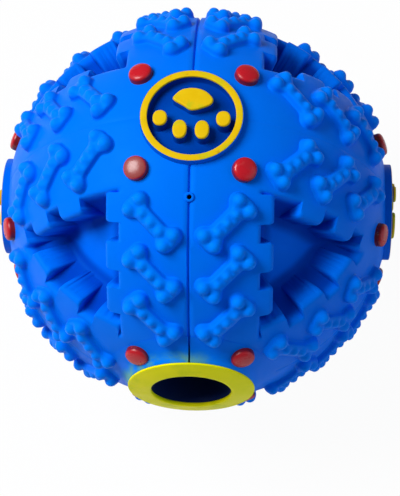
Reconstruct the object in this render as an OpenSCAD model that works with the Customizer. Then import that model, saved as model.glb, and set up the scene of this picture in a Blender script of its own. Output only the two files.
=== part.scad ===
// Treat dispensing ball: two soft half shells with moulded bones and deep corner pockets,
// five paw badges, a treat port with a choke sleeve, and a sound maker with a sliding weight.
// Origin at the ball's centre, +Z up through the top badge, the treat port faces -Y.

/* [Shells] */
// Radius of the smooth ball between the raised bones
ball_r = 57; // [55:0.5:60]
// Wall thickness of the soft half shells
shell_wall = 3; // [2.4:0.2:3.6]
// Width of the groove that shows where the half shells meet
seam_groove_w = 0.5; // [0.3:0.1:0.8]

/* [Bones] */
// Length of a bone between the middles of its two ends
bone_l = 13.4; // [11:0.2:14.4]
// Radius of each of the four knuckles of a bone
knuckle_r = 2.05; // [1.6:0.05:2.2]
// Distance between the two knuckles of one end
knuckle_pitch = 3.65; // [3:0.05:4]
// Width of the bone's shaft
bone_shaft_w = 3.7; // [2.5:0.1:4]
// Height of a bone's base above the ball
bone_base_rise = 2; // [1.2:0.1:2.4]
// Height of a bone's crown above the ball
bone_rise = 3.2; // [2.5:0.1:4]
// Step in from the base's outline to the crown's outline
bone_crown_step = 0.7; // [0.3:0.05:1]
// Arc along the tread between two bones of a row, in degrees
bone_pitch_deg = 14.5; // [13.5:0.1:15]
// Arc from the tread's middle line to the middle of a bone, in degrees
bone_row_deg = 10.2; // [9.8:0.1:10.6]

/* [Pockets] */
// Distance from the ball's middle planes to the pocket walls, in the notches
pocket_notch = 19.4; // [18.6:0.1:20.4]
// Depth of a pocket's round floor below the smooth ball
pocket_depth = 11.6; // [9:0.1:13]
// Height of the tabs that stand out of a pocket wall
tab_rise = 3.6; // [2:0.1:4.2]
// How far the tabs run down the wall from the rim
tab_reach = 8.6; // [6:0.1:9.4]
// Arc that one tab takes along the tread, in degrees
tab_deg = 9; // [7:0.5:10]
// Arc along the tread from a face's middle to the first tab's middle, in degrees
tab_first_deg = 26.5; // [25.5:0.1:27.5]
// The same arc on the tread that runs over the top and the two sides, in degrees
side_tab_first_deg = 39.5; // [38.5:0.1:40.5]

/* [Badges] */
// Radius of a paw badge
badge_r = 14.3; // [13.6:0.1:14.6]
// Height of a badge's ring above the ball's radius
badge_rise = 0.3; // [0.1:0.1:1]
// Width of a badge's yellow ring
ring_w = 2.1; // [1.2:0.1:2.4]
// Thickness of the yellow ring and of the paw pads' caps
inlay_t = 0.8; // [0.4:0.1:1.2]
// Depth of a badge's floor below its ring, at the ring's inner edge
badge_floor_depth = 3; // [2:0.1:4]
// Height of the paw pads above the ring, which is also the rise of the port's lip
pad_rise = 1.3; // [0.8:0.1:2]
// Radius of the flange that holds a badge behind the wall
flange_r = 17.6; // [16.6:0.1:18]
// Thickness of that flange
flange_t = 1.5; // [1:0.1:2]

/* [Studs] */
// Radius of a stud's head
stud_r = 3.4; // [2.6:0.1:3.8]
// Height of a stud's head above the ball, at its middle
stud_rise = 2.4; // [1.8:0.1:3.2]
// Radius of a stud's peg
peg_r = 1.7; // [1.2:0.1:2]
// Angle between a badge's axis and the studs round it, in degrees
stud_deg = 21.3; // [21:0.1:22]

/* [Treat port] */
// Inner radius of the treat sleeve, the way out for the treats
port_bore_r = 11.5; // [9:0.1:11.8]
// Wall of the treat sleeve
sleeve_wall = 1.4; // [1:0.1:1.6]
// Length of the treat sleeve
sleeve_l = 23; // [14:0.5:26]
// Outer radius of the yellow collar's face
collar_r = 18.2; // [17.6:0.1:18.8]
// Wall of the collar's skirt, which goes through the shells around the sleeve
collar_skirt_t = 1.3; // [1.1:0.1:1.6]
// Distance along the ball from the collar's edge out to the axis of a stud beside the port
port_stud_reach = 2.6; // [2.5:0.1:3]
// Slope run of the blue boss around the collar
boss_flare = 2.2; // [1:0.1:2.6]

/* [Vent] */
// Bore radius of the vent eyelet
vent_bore_r = 0.65; // [0.5:0.05:0.8]
// Wall of the vent eyelet's tube
vent_wall = 0.3; // [0.25:0.05:0.4]
// Radius of the vent eyelet's rim
vent_rim_r = 1.35; // [1.2:0.05:1.6]
// Height of the vent eyelet's rim above the ball
vent_rim_rise = 0.5; // [0.3:0.05:0.8]
// Angle between the vent and the top badge's axis, in degrees
vent_deg = 23.4; // [23:0.1:25]

/* [Sound maker] */
// Bore radius of the sound tube
tube_bore_r = 7.8; // [6:0.1:8.2]
// Wall of the sound tube
tube_wall = 1.2; // [1:0.1:1.5]
// Height of the socket that holds the tube on the bottom badge
socket_h = 5; // [3:0.5:8]
// Length of the sliding weight
weight_l = 12; // [8:0.5:14]
// Travel of the sliding weight, which sets the tube's length
weight_travel = 26; // [14:0.5:26]
// Running clearance around the sliding weight
weight_gap = 0.08; // [0.03:0.01:0.1]

/* [Fits] */
// Clearance between pieces that are bonded or pressed together
fit_gap = 0.05; // [0.02:0.01:0.1]

/* [Hidden] */
$fn = 96;

shell_blue = [0.0, 0.44, 0.95];
badge_blue = [0.0, 0.22, 0.62];
paint_yellow = [0.98, 0.79, 0.05];
collar_yellow = [0.84, 0.82, 0.05];
stud_red = [0.76, 0.08, 0.12];
sleeve_navy = [0.02, 0.06, 0.35];

// Overrun of a cut past the face that it leaves
over = ball_r / 40;
// Radius that reaches past every point of the ball
beyond = ball_r * 1.3;
// Inner radius of the hollow ball
hollow_r = ball_r - shell_wall;
// Radius of the flat seats inside the wall, behind each badge and the port
seat_r = flange_r + shell_wall / 3;
// Height of those flat seats above the ball's centre
seat_h = sqrt(pow(hollow_r, 2) - pow(seat_r, 2));

// Depth of the seam groove and the tongue's size, from the wall that they are cut in
groove_depth = shell_wall * 0.2;
tongue_t = shell_wall * 0.27;
tongue_reach = shell_wall * 0.55;
tongue_mid_r = hollow_r + shell_wall * 0.45;

// Height of a badge's ring face, and of the pads and the port's lip
ring_top = ball_r + badge_rise;
face_h = ring_top + pad_rise;
recess_r = badge_r - ring_w;
// Radius of the domed floor of a badge
floor_r = sqrt(pow(ring_top - badge_floor_depth, 2) + pow(recess_r, 2));
// The ring stands back from the badge's edge by this much
ring_inset = ring_w * 0.1;

// A paw as shares of the badge's radius: the main pad's arc, its outline below, and the toes
pad_arc_r_share = 0.4;
pad_arc_mid_shares = [0.02, 0.155];
pad_low_shares = [[-0.42, 0.29], [-0.06, 0.078], [0.04, 0.07], [0.37, 0.19], [0.45, 0.29],
                  [0.45, 0.6], [-0.42, 0.6]];
toe_r_share = 0.138;
// Each toe: its place across and along the badge, and half the length of its straight sides
toe_shares = [[-0.6, -0.112, 0.027], [0.6, -0.112, 0.027], [-0.214, -0.35, 0.058], [0.214, -0.35, 0.058]];

// Seat of a stud's head, cut flat in the ball, and the sphere of its domed top
stud_seat_h = sqrt(pow(ball_r, 2) - pow(stud_r, 2)) - stud_rise / 12;
stud_dome_r = stud_r * 2.4;
stud_top_h = ball_r + stud_rise;

// The blue boss around the port ends where the yellow collar's flange begins
collar_seat_h = ball_r - flange_t / 15;
sleeve_outer_r = port_bore_r + sleeve_wall;
lip_t = flange_t * 0.8;
skirt_bore_r = sleeve_outer_r + fit_gap;
skirt_outer_r = skirt_bore_r + collar_skirt_t;
port_hole_r = skirt_outer_r + fit_gap;
port_stud_deg = asin((collar_r + port_stud_reach) / ball_r);
sleeve_end_h = face_h - lip_t;
collar_edge_t = flange_t * 0.4;
collar_lip_r = port_bore_r + sleeve_wall * 0.7;

vent_seat_h = sqrt(pow(ball_r, 2) - pow(vent_rim_r, 2)) - vent_rim_rise / 4;
vent_tube_r = vent_bore_r + vent_wall;
// The eyelet's rim is rounded off by this much at its top
vent_round = vent_rim_rise * 0.4;

// The tube stands on the bottom badge's flange, inside the hollow
tube_outer_r = tube_bore_r + tube_wall;
tube_floor_t = tube_wall;
// The weight rests this far above the tube's floor, and stops this far short of the cap
weight_rest_gap = weight_gap;
weight_stop_gap = weight_gap * 4;
cap_t = tube_wall * 1.6;
cap_spigot_l = tube_wall * 2;
tube_l = tube_floor_t + weight_rest_gap + weight_l + weight_travel + weight_stop_gap + cap_spigot_l;
tube_foot_h = seat_h - flange_t;
tube_top_h = tube_foot_h - tube_l;
cap_vent_r = tube_bore_r * 0.3;
reed_l = tube_bore_r * 1.35;
reed_w = tube_bore_r * 0.45;
reed_t = tube_wall * 0.35;
socket_wall = tube_wall * 1.3;
weight_waist = tube_wall * 0.5;

// The six faces: turns that carry +Z to the face and the paw's toes to their side
top_face = [0, 0, 0];
bottom_face = [180, 0, 0];
back_face = [-90, 0, 0];
port_face = [90, 0, 0];
left_face = [0, -90, 0];
right_face = [0, 90, 0];
right_spin = 180;

// Radius of the pockets' round floor, and of the foot of the tabs, seen along the tread's axis
pocket_floor_r = ball_r - pocket_depth;
tab_foot_r = sqrt(pow(ball_r, 2) - pow(pocket_notch, 2)) - tab_reach;
// Thickness of a tab with its root in the wall, as a share of the tab's height
tab_root_share = 1.1;

// Arcs along a tread, from a face's middle, of the bones and of the tabs in its pockets
bone_arcs = [for (step = [-1:1]) 45 + step * bone_pitch_deg];
tab_arcs = [for (step = [0:2]) tab_first_deg + step * bone_pitch_deg];
side_tab_arcs = [for (step = [0:2]) side_tab_first_deg + step * bone_pitch_deg];
quarters = [0:3];

// Turns the tread round X = 0 on to one of the three treads; bones point along its travel
module on_tread(i) {
    if (i == 0) children();
    if (i == 1) rotate([0, 0, 90]) children();
    if (i == 2) rotate([90, 0, 0]) rotate([0, 0, 90]) children();
}

// Places a piece on the ball at an arc along the tread and an arc to its side
module at_arc(along, aside) {
    rotate([along, 0, 0]) rotate([0, aside, 0]) children();
}

// One tab on a pocket wall beside the tread: a wedge that narrows from the rim to its foot
module tab(along, aside) {
    lo = along - tab_deg / 2;
    hi = along + tab_deg / 2;
    tip_r = ball_r + over;
    translate([aside * (pocket_notch + tab_rise / 2), 0, 0]) rotate([0, 90, 0])
        linear_extrude(height = tab_rise * tab_root_share, center = true)
            polygon([for (p = [[tab_foot_r, lo], [tip_r, lo], [tip_r, hi], [tab_foot_r, hi]])
                     [-p[0] * cos(p[1]), -p[0] * sin(p[1])]]);
}

// The four corners of one half that lie beyond a wall's distance from all three middle planes
module corner_blocks(wall_d) {
    for (sy = [-1, 1], sz = [-1, 1])
        translate([wall_d, sy > 0 ? wall_d : -beyond, sz > 0 ? wall_d : -beyond]) cube(beyond - wall_d);
}

// The right half's four pockets: flat walls with tabs, and a round floor
module right_pockets() {
    difference() {
        corner_blocks(pocket_notch);
        half_ball(pocket_floor_r, 1);
        for (quarter = quarters, along = tab_arcs) tab(quarter * 90 + along, 1);
        for (quarter = [0, 1], aside = [-1, 1]) {
            on_tread(1) for (along = side_tab_arcs) tab(quarter * 90 + along, aside);
            on_tread(2) for (along = tab_arcs) tab(quarter * 90 + along, aside);
        }
    }
}

// Turns what is drawn for the right half over to the half wanted
module on_half(side) {
    mirror([side > 0 ? 0 : 1, 0, 0]) children();
}

module bone_outline(step_in) {
    half_l = bone_l / 2;
    half_pitch = knuckle_pitch / 2;
    for (end = [-1, 1], across = [-1, 1])
        translate([end * half_l, across * half_pitch]) circle(r = knuckle_r - step_in, $fn = 24);
    square([bone_l, bone_shaft_w - 2 * step_in], center = true);
    for (end = [-1, 1])
        translate([end * half_l, 0]) square([knuckle_r, knuckle_pitch], center = true);
}

module bone() {
    foot_h = ball_r - shell_wall / 2;
    translate([0, 0, foot_h]) {
        linear_extrude(height = ball_r + bone_base_rise - foot_h) bone_outline(0);
        linear_extrude(height = ball_r + bone_rise - foot_h) bone_outline(bone_crown_step);
    }
}

// The bones of one half: a row beside the seam, and both rows of the two treads that cross it
module bones(side) {
    for (quarter = quarters, arc = bone_arcs)
        at_arc(quarter * 90 + arc, side * bone_row_deg) rotate([0, 0, side * 45]) bone();
    for (i = [1, 2], quarter = side > 0 ? [0, 1] : [2, 3], arc = bone_arcs, row = [-1, 1])
        on_tread(i) at_arc(quarter * 90 + arc, row * bone_row_deg) rotate([0, 0, row * 45]) bone();
}

// Carries a piece that points along +Z to each of the five faces with a badge
module at_each_badge() {
    for (turn = [top_face, bottom_face, back_face, left_face, right_face]) rotate(turn) children();
}

module at_each_face() {
    at_each_badge() children();
    rotate(port_face) children();
}

// The four places round +Z that lie this many degrees from it
module at_each_stud(from_axis) {
    for (quarter = quarters) rotate([0, 0, 45 + quarter * 90]) rotate([0, from_axis, 0]) children();
}

module half_space(side) {
    translate([side > 0 ? 0 : -beyond, -beyond, -beyond]) cube([beyond, 2 * beyond, 2 * beyond]);
}

// A ball turned so that the line where its surface joins lies in the half that is cut away
module half_ball(r, side) {
    rotate([0, 0, side > 0 ? 180 : 0]) sphere(r = r);
}

// The hollow ball with the pockets' walls and the flat seats, before anything is cut
module shell_body(side) {
    intersection() {
        half_space(side);
        union() {
            difference() {
                half_ball(ball_r, side);
                half_ball(hollow_r, side);
            }
            intersection() {
                half_ball(ball_r - shell_wall / 2, side);
                union() {
                    difference() {
                        on_half(side) corner_blocks(pocket_notch - shell_wall);
                        half_ball(pocket_floor_r - shell_wall, side);
                    }
                    at_each_face() translate([0, 0, seat_h]) cylinder(r = seat_r, h = beyond);
                }
            }
            rotate(port_face) port_boss();
        }
    }
}

module port_boss() {
    flare_foot_h = sqrt(pow(ball_r, 2) - pow(collar_r + boss_flare, 2)) - shell_wall / 4;
    translate([0, 0, flare_foot_h])
        cylinder(r1 = collar_r + boss_flare, r2 = collar_r, h = collar_seat_h - flare_foot_h);
}

module seam_ring(inner_r, outer_r, half_w) {
    rotate([0, 90, 0]) difference() {
        cylinder(r = outer_r, h = 2 * half_w, center = true);
        cylinder(r = inner_r, h = 4 * half_w, center = true);
    }
}

module stud_cut() {
    translate([0, 0, stud_seat_h]) cylinder(r = stud_r + fit_gap, h = beyond - stud_seat_h);
    translate([0, 0, hollow_r - over]) cylinder(r = peg_r + fit_gap, h = shell_wall + over, $fn = 48);
}

// The hole through the wall for a badge or for the port's collar
module mount_hole(r) {
    translate([0, 0, seat_h - over]) cylinder(r = r, h = beyond - seat_h);
}

module vent_cut() {
    translate([0, 0, vent_seat_h]) cylinder(r = vent_rim_r + fit_gap, h = over, $fn = 48);
    translate([0, 0, hollow_r - over]) cylinder(r = vent_tube_r + fit_gap, h = shell_wall + over, $fn = 48);
}

module shell_cuts(side) {
    on_half(side) right_pockets();
    at_each_badge() {
        mount_hole(badge_r);
        at_each_stud(stud_deg) stud_cut();
    }
    rotate(port_face) {
        mount_hole(port_hole_r);
        at_each_stud(port_stud_deg) stud_cut();
    }
    rotate([vent_deg, 0, 0]) vent_cut();
    seam_ring(ball_r - groove_depth, beyond, seam_groove_w / 2);
}

module left_shell() {
    color(shell_blue) difference() {
        union() {
            shell_body(-1);
            bones(-1);
        }
        shell_cuts(-1);
        seam_ring(tongue_mid_r - tongue_t / 2 - fit_gap, tongue_mid_r + tongue_t / 2 + fit_gap,
                  tongue_reach + fit_gap);
    }
}

module right_shell() {
    color(shell_blue) difference() {
        union() {
            shell_body(1);
            bones(1);
            seam_ring(tongue_mid_r - tongue_t / 2, tongue_mid_r + tongue_t / 2, tongue_reach);
        }
        shell_cuts(1);
    }
}

module toe_outline(toe) {
    toe_r = badge_r * toe_r_share;
    translate([toe[0] * badge_r, toe[1] * badge_r]) {
        for (end = [-1, 1]) translate([0, end * toe[2] * badge_r]) circle(r = toe_r, $fn = 48);
        square([2 * toe_r, 2 * toe[2] * badge_r], center = true);
    }
}

module main_pad_outline() {
    intersection() {
        translate(badge_r * pad_arc_mid_shares) circle(r = badge_r * pad_arc_r_share);
        polygon([for (p = pad_low_shares) p * badge_r]);
    }
}

module paw_outline() {
    main_pad_outline();
    for (toe = toe_shares) toe_outline(toe);
}

module badge() {
    flange_h = seat_h - flange_t;
    translate([0, 0, flange_h]) cylinder(r = flange_r, h = flange_t);
    difference() {
        translate([0, 0, flange_h]) cylinder(r = badge_r - fit_gap, h = ring_top - inlay_t - flange_h);
        difference() {
            cylinder(r = recess_r, h = beyond);
            sphere(r = floor_r);
        }
    }
    translate([0, 0, seat_h]) linear_extrude(height = face_h - inlay_t - seat_h) paw_outline();
}

module badge_ring() {
    translate([0, 0, ring_top - inlay_t]) difference() {
        cylinder(r = badge_r - ring_inset, h = inlay_t);
        translate([0, 0, -over]) cylinder(r = recess_r, h = inlay_t + 2 * over);
    }
}

module paw_caps() {
    translate([0, 0, face_h - inlay_t]) linear_extrude(height = inlay_t) paw_outline();
}

module stud() {
    intersection() {
        translate([0, 0, stud_seat_h]) cylinder(r = stud_r, h = stud_top_h - stud_seat_h);
        translate([0, 0, stud_top_h - stud_dome_r]) sphere(r = stud_dome_r);
    }
    translate([0, 0, hollow_r]) cylinder(r = peg_r, h = stud_seat_h - hollow_r, $fn = 48);
}

module stud_group(turn, from_axis) {
    color(stud_red) rotate(turn) at_each_stud(from_axis) stud();
}

// The socket ring inside the bottom badge, which holds the sound tube's foot
module tube_socket() {
    translate([0, 0, tube_foot_h - socket_h]) difference() {
        cylinder(r = tube_outer_r + fit_gap + socket_wall, h = socket_h);
        translate([0, 0, -over]) cylinder(r = tube_outer_r + fit_gap, h = socket_h + over);
    }
}

module port_collar() {
    color(collar_yellow) rotate(port_face) rotate_extrude()
        polygon([[skirt_bore_r, seat_h], [skirt_outer_r, seat_h], [skirt_outer_r, collar_seat_h],
                 [collar_r, collar_seat_h], [collar_r, collar_seat_h + collar_edge_t],
                 [collar_lip_r, face_h], [port_bore_r, face_h], [port_bore_r, sleeve_end_h],
                 [skirt_bore_r, sleeve_end_h]]);
}

module treat_sleeve() {
    color(sleeve_navy) rotate(port_face) difference() {
        union() {
            translate([0, 0, face_h - sleeve_l]) cylinder(r = sleeve_outer_r, h = sleeve_l - lip_t);
            translate([0, 0, seat_h - flange_t]) cylinder(r = flange_r, h = flange_t);
        }
        translate([0, 0, face_h - sleeve_l - over]) cylinder(r = port_bore_r, h = sleeve_l + over);
    }
}

module vent_eyelet() {
    rim_top_h = ball_r + vent_rim_rise;
    color(shell_blue) rotate([vent_deg, 0, 0]) rotate_extrude($fn = 48)
        polygon([[vent_bore_r, hollow_r], [vent_tube_r, hollow_r], [vent_tube_r, vent_seat_h],
                 [vent_rim_r, vent_seat_h], [vent_rim_r, rim_top_h - vent_round],
                 [vent_rim_r - vent_round, rim_top_h], [vent_bore_r, rim_top_h]]);
}

// The sound maker's pieces stand up from the bottom badge, towards the ball's centre
module sound_tube() {
    color("lightsteelblue") rotate(bottom_face) translate([0, 0, tube_top_h]) difference() {
        cylinder(r = tube_outer_r, h = tube_l);
        translate([0, 0, -over]) cylinder(r = tube_bore_r, h = tube_l - tube_floor_t + over);
    }
}

module sound_tube_cap() {
    color("white") rotate(bottom_face) translate([0, 0, tube_top_h]) difference() {
        union() {
            translate([0, 0, -cap_t]) cylinder(r = tube_outer_r, h = cap_t);
            cylinder(r = tube_bore_r - fit_gap, h = cap_spigot_l);
        }
        translate([0, 0, -cap_t - over])
            cylinder(r = cap_vent_r, h = cap_t + cap_spigot_l + 2 * over, $fn = 48);
    }
}

module sound_reed() {
    color("gold") rotate(bottom_face) translate([-reed_l / 2, -reed_w / 2, tube_top_h - cap_t - reed_t])
        cube([reed_l, reed_w, reed_t]);
}

module sliding_weight() {
    foot_h = tube_foot_h - tube_floor_t - weight_rest_gap - weight_l;
    slide_r = tube_bore_r - weight_gap;
    band_l = weight_l / 4;
    color("dimgray") rotate(bottom_face) translate([0, 0, foot_h]) {
        cylinder(r = slide_r, h = band_l);
        translate([0, 0, band_l]) cylinder(r = slide_r - weight_waist, h = weight_l - 2 * band_l);
        translate([0, 0, weight_l - band_l]) cylinder(r = slide_r, h = band_l);
    }
}

module top_badge() { color(badge_blue) rotate(top_face) badge(); }
module left_badge() { color(badge_blue) rotate(left_face) badge(); }
module right_badge() { color(badge_blue) rotate(right_face) rotate([0, 0, right_spin]) badge(); }
module back_badge() { color(badge_blue) rotate(back_face) badge(); }
module bottom_badge() {
    color(badge_blue) rotate(bottom_face) {
        badge();
        tube_socket();
    }
}

module top_ring() { color(paint_yellow) rotate(top_face) badge_ring(); }
module bottom_ring() { color(paint_yellow) rotate(bottom_face) badge_ring(); }
module left_ring() { color(paint_yellow) rotate(left_face) badge_ring(); }
module right_ring() { color(paint_yellow) rotate(right_face) badge_ring(); }
module back_ring() { color(paint_yellow) rotate(back_face) badge_ring(); }

module top_paw() { color(paint_yellow) rotate(top_face) paw_caps(); }
module bottom_paw() { color(paint_yellow) rotate(bottom_face) paw_caps(); }
module left_paw() { color(paint_yellow) rotate(left_face) paw_caps(); }
module right_paw() { color(paint_yellow) rotate(right_face) rotate([0, 0, right_spin]) paw_caps(); }
module back_paw() { color(paint_yellow) rotate(back_face) paw_caps(); }

left_shell();
right_shell();
top_badge();
bottom_badge();
left_badge();
right_badge();
back_badge();
top_ring();
bottom_ring();
left_ring();
right_ring();
back_ring();
top_paw();
bottom_paw();
left_paw();
right_paw();
back_paw();
stud_group(top_face, stud_deg);  // top_studs
stud_group(bottom_face, stud_deg);  // bottom_studs
stud_group(left_face, stud_deg);  // left_studs
stud_group(right_face, stud_deg);  // right_studs
stud_group(back_face, stud_deg);  // back_studs
stud_group(port_face, port_stud_deg);  // port_studs
port_collar();
treat_sleeve();
vent_eyelet();
sound_tube();
sound_tube_cap();
sound_reed();
sliding_weight();
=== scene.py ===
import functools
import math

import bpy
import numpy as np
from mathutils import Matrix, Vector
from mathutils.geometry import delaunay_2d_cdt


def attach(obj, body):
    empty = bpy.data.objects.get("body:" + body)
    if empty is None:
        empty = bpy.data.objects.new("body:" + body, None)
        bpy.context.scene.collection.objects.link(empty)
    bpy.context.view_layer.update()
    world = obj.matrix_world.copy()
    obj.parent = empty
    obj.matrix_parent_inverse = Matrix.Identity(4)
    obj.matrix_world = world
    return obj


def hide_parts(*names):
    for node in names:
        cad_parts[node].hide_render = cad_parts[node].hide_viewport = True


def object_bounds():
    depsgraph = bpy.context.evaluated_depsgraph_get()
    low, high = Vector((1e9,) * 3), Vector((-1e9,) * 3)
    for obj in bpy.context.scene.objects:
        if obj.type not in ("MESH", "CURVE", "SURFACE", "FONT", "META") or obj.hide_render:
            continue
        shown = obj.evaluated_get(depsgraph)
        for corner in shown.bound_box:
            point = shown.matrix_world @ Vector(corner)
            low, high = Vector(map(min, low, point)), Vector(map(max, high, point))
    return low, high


bl_info = {
    "name": "Treat Dispensing Ball",
    "version": (1, 0, 0),
    "blender": (4, 5, 0),
    "location": "View3D > Sidebar > Treat Ball",
    "description": "Moulded shells, raised bones, paw badges, studs and the treat port of a dog's treat ball",
    "category": "Object",
}

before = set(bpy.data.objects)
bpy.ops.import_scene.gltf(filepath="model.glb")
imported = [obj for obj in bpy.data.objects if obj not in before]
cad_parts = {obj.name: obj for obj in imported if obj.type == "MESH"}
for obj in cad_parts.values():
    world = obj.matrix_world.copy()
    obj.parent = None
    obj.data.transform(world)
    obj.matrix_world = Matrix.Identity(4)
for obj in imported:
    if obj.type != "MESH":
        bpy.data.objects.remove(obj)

cad_box = [list(corner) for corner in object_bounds()]

MM = 0.001
RIGHT_ANGLE = math.pi / 2
FACES = ("top", "bottom", "back", "port", "left", "right")
BADGE_FACES = ("top", "bottom", "back", "left", "right")
# Turns about X, then Y, that carry +Z to each face, in degrees
FACE_TURNS = {"top": (0, 0), "bottom": (180, 0), "back": (-90, 0), "port": (90, 0), "left": (0, -90),
              "right": (0, 90)}
# Turns of the paw about its badge's own axis, in degrees
PAW_SPINS = {"top": 0, "bottom": 0, "back": 0, "left": 0, "right": 180}


class TreatBallSizes(bpy.types.PropertyGroup):
    ball_radius: bpy.props.FloatProperty(
        name="Ball Radius", description="Radius of the smooth ball between the bones", default=0.057,
        min=0.03, unit="LENGTH")
    shell_wall: bpy.props.FloatProperty(
        name="Shell Wall", description="Wall of the half shells", default=0.003, min=0.001, unit="LENGTH")
    pocket_wall: bpy.props.FloatProperty(
        name="Pocket Wall Distance", description="Distance of the pocket walls from the ball's middle planes",
        default=0.0194, min=0.01, unit="LENGTH")
    pocket_depth: bpy.props.FloatProperty(
        name="Pocket Depth", description="Depth of the pockets' round floor", default=0.0116, min=0.002,
        unit="LENGTH")
    tab_rise: bpy.props.FloatProperty(
        name="Tab Rise", description="Height of the tabs on the pocket walls", default=0.0036, min=0.0005,
        unit="LENGTH")
    tab_foot: bpy.props.FloatProperty(
        name="Tab Foot Radius", description="Distance of a tab's foot from the axis of its tread",
        default=0.0432, min=0.03, unit="LENGTH")
    rim_round: bpy.props.FloatProperty(
        name="Rim Rounding", description="Rounding of the pockets' rims", default=0.0006, min=0.0001,
        unit="LENGTH")
    seam_groove: bpy.props.FloatProperty(
        name="Seam Groove", description="Half the width of the groove between the half shells",
        default=0.00026, min=0.00005, unit="LENGTH")
    bone_rise: bpy.props.FloatProperty(
        name="Bone Rise", description="Height of a bone's knuckles above the ball", default=0.0032,
        min=0.001, unit="LENGTH")
    bone_length: bpy.props.FloatProperty(
        name="Bone Length", description="Distance between the middles of a bone's two ends",
        default=0.0134, min=0.005, unit="LENGTH")
    knuckle_radius: bpy.props.FloatProperty(
        name="Knuckle Radius", description="Radius of the four knuckles of a bone", default=0.00215,
        min=0.0005, unit="LENGTH")
    knuckle_pitch: bpy.props.FloatProperty(
        name="Knuckle Pitch", description="Distance between the two knuckles of one end",
        default=0.0041, min=0.001, unit="LENGTH")
    bone_shaft: bpy.props.FloatProperty(
        name="Bone Shaft", description="Width of a bone's shaft", default=0.0043, min=0.001, unit="LENGTH")
    bone_pitch: bpy.props.FloatProperty(
        name="Bone Pitch", description="Arc between two bones of a row", default=math.radians(14.5),
        subtype="ANGLE")
    bone_row: bpy.props.FloatProperty(
        name="Bone Row", description="Arc between a row of bones and the middle of its tread",
        default=math.radians(10.2), subtype="ANGLE")
    bone_slant: bpy.props.FloatProperty(
        name="Bone Slant", description="Angle between a bone and its tread", default=math.radians(45),
        subtype="ANGLE")
    badge_radius: bpy.props.FloatProperty(
        name="Badge Radius", description="Radius of a paw badge", default=0.01425, min=0.005, unit="LENGTH")
    ring_width: bpy.props.FloatProperty(
        name="Ring Width", description="Width of a badge's yellow ring", default=0.00205, min=0.0005,
        unit="LENGTH")
    stud_radius: bpy.props.FloatProperty(
        name="Stud Radius", description="Radius of a stud's head", default=0.0034, min=0.001, unit="LENGTH")
    stud_angle: bpy.props.FloatProperty(
        name="Stud Angle", description="Angle between a stud and the axis of its badge",
        default=math.radians(21.3), subtype="ANGLE")
    vent_angle: bpy.props.FloatProperty(
        name="Vent Angle", description="Angle between the vent and the top badge's axis",
        default=math.radians(23.4), subtype="ANGLE")


class TreatBallColours(bpy.types.PropertyGroup):
    vinyl: bpy.props.FloatVectorProperty(
        name="Vinyl", description="Blue of the half shells", subtype="COLOR", default=(0.0, 0.165, 0.90))
    # Painted highlight: lighter blue on the bones' crowns, where light falls on their tops
    vinyl_painted_crown_highlight: bpy.props.FloatVectorProperty(
        name="Vinyl Crown", description="Lighter blue on the crowns of the bones", subtype="COLOR",
        default=(0.0, 0.215, 1.0))
    # Painted light: a slightly lighter blue on the pockets' floors, standing in for the light on them
    vinyl_depth_painted_light: bpy.props.FloatVectorProperty(
        name="Vinyl Depth", description="Blue in the depth of the pockets", subtype="COLOR",
        default=(0.0, 0.165, 0.94))
    # Painted shade: dark blue in the notches between the pockets' tabs, where shade falls
    vinyl_notch_painted_shade: bpy.props.FloatVectorProperty(
        name="Vinyl Notch", description="Dark blue between the tabs of the pockets' walls", subtype="COLOR",
        default=(0.0, 0.035, 0.42))
    badge: bpy.props.FloatVectorProperty(
        name="Badge", description="Navy of the badges", subtype="COLOR", default=(0.0, 0.045, 0.36))
    # Painted light: lighter middle of a badge's floor, which is painted darker towards the ring as shade in
    # the recess
    badge_painted_lit_middle: bpy.props.FloatVectorProperty(
        name="Badge Middle", description="Blue in the middle of a badge's floor", subtype="COLOR",
        default=(0.0, 0.075, 0.48))
    yellow: bpy.props.FloatVectorProperty(
        name="Yellow", description="Paint of the rings and the paw pads", subtype="COLOR",
        default=(0.78, 0.49, 0.004))
    collar: bpy.props.FloatVectorProperty(
        name="Collar", description="Greenish yellow paint of the treat port", subtype="COLOR",
        default=(0.94, 0.86, 0.002))
    overspray: bpy.props.FloatVectorProperty(
        name="Overspray", description="Green where the port's paint has drifted over the blue",
        subtype="COLOR", default=(0.01, 0.30, 0.14))
    red: bpy.props.FloatVectorProperty(
        name="Red", description="Paint of the studs", subtype="COLOR", default=(0.56, 0.008, 0.018))
    # Painted shade: dark red on the studs' sides, where they turn away from the light
    red_side_painted_shade: bpy.props.FloatVectorProperty(
        name="Red Side", description="Dark red on the sides of the studs", subtype="COLOR",
        default=(0.16, 0.004, 0.010))


class TreatBallStage(bpy.types.PropertyGroup):
    azimuth: bpy.props.FloatProperty(
        name="Azimuth", description="Camera's angle to the side of the treat port",
        default=math.radians(5.399), subtype="ANGLE")
    elevation: bpy.props.FloatProperty(
        name="Elevation", description="Camera's angle above the horizon", default=math.radians(63.23),
        subtype="ANGLE")
    roll: bpy.props.FloatProperty(
        name="Roll", description="Camera's turn about its own axis", default=math.radians(-3.885),
        subtype="ANGLE")
    distance: bpy.props.FloatProperty(
        name="Distance", description="Distance of the camera from the ball's centre", default=0.57,
        unit="LENGTH")
    aim_down: bpy.props.FloatProperty(
        name="Aim Down", description="How far below the ball's centre the camera aims",
        default=math.radians(1.171), subtype="ANGLE")
    aim_right: bpy.props.FloatProperty(
        name="Aim Right", description="How far right of the ball's centre the camera aims",
        default=math.radians(0.062), subtype="ANGLE")
    lens: bpy.props.FloatProperty(
        name="Lens", description="Focal length for a sensor 24 mm high", default=91.95, unit="CAMERA")
    floor_width: bpy.props.FloatProperty(
        name="Floor Width", description="Width of the floor", default=6.0, unit="LENGTH")


def sizes():
    return bpy.context.scene.treat_ball_sizes


def colours():
    return bpy.context.scene.treat_ball_colours


# Nodes of shader and geometry trees

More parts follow.
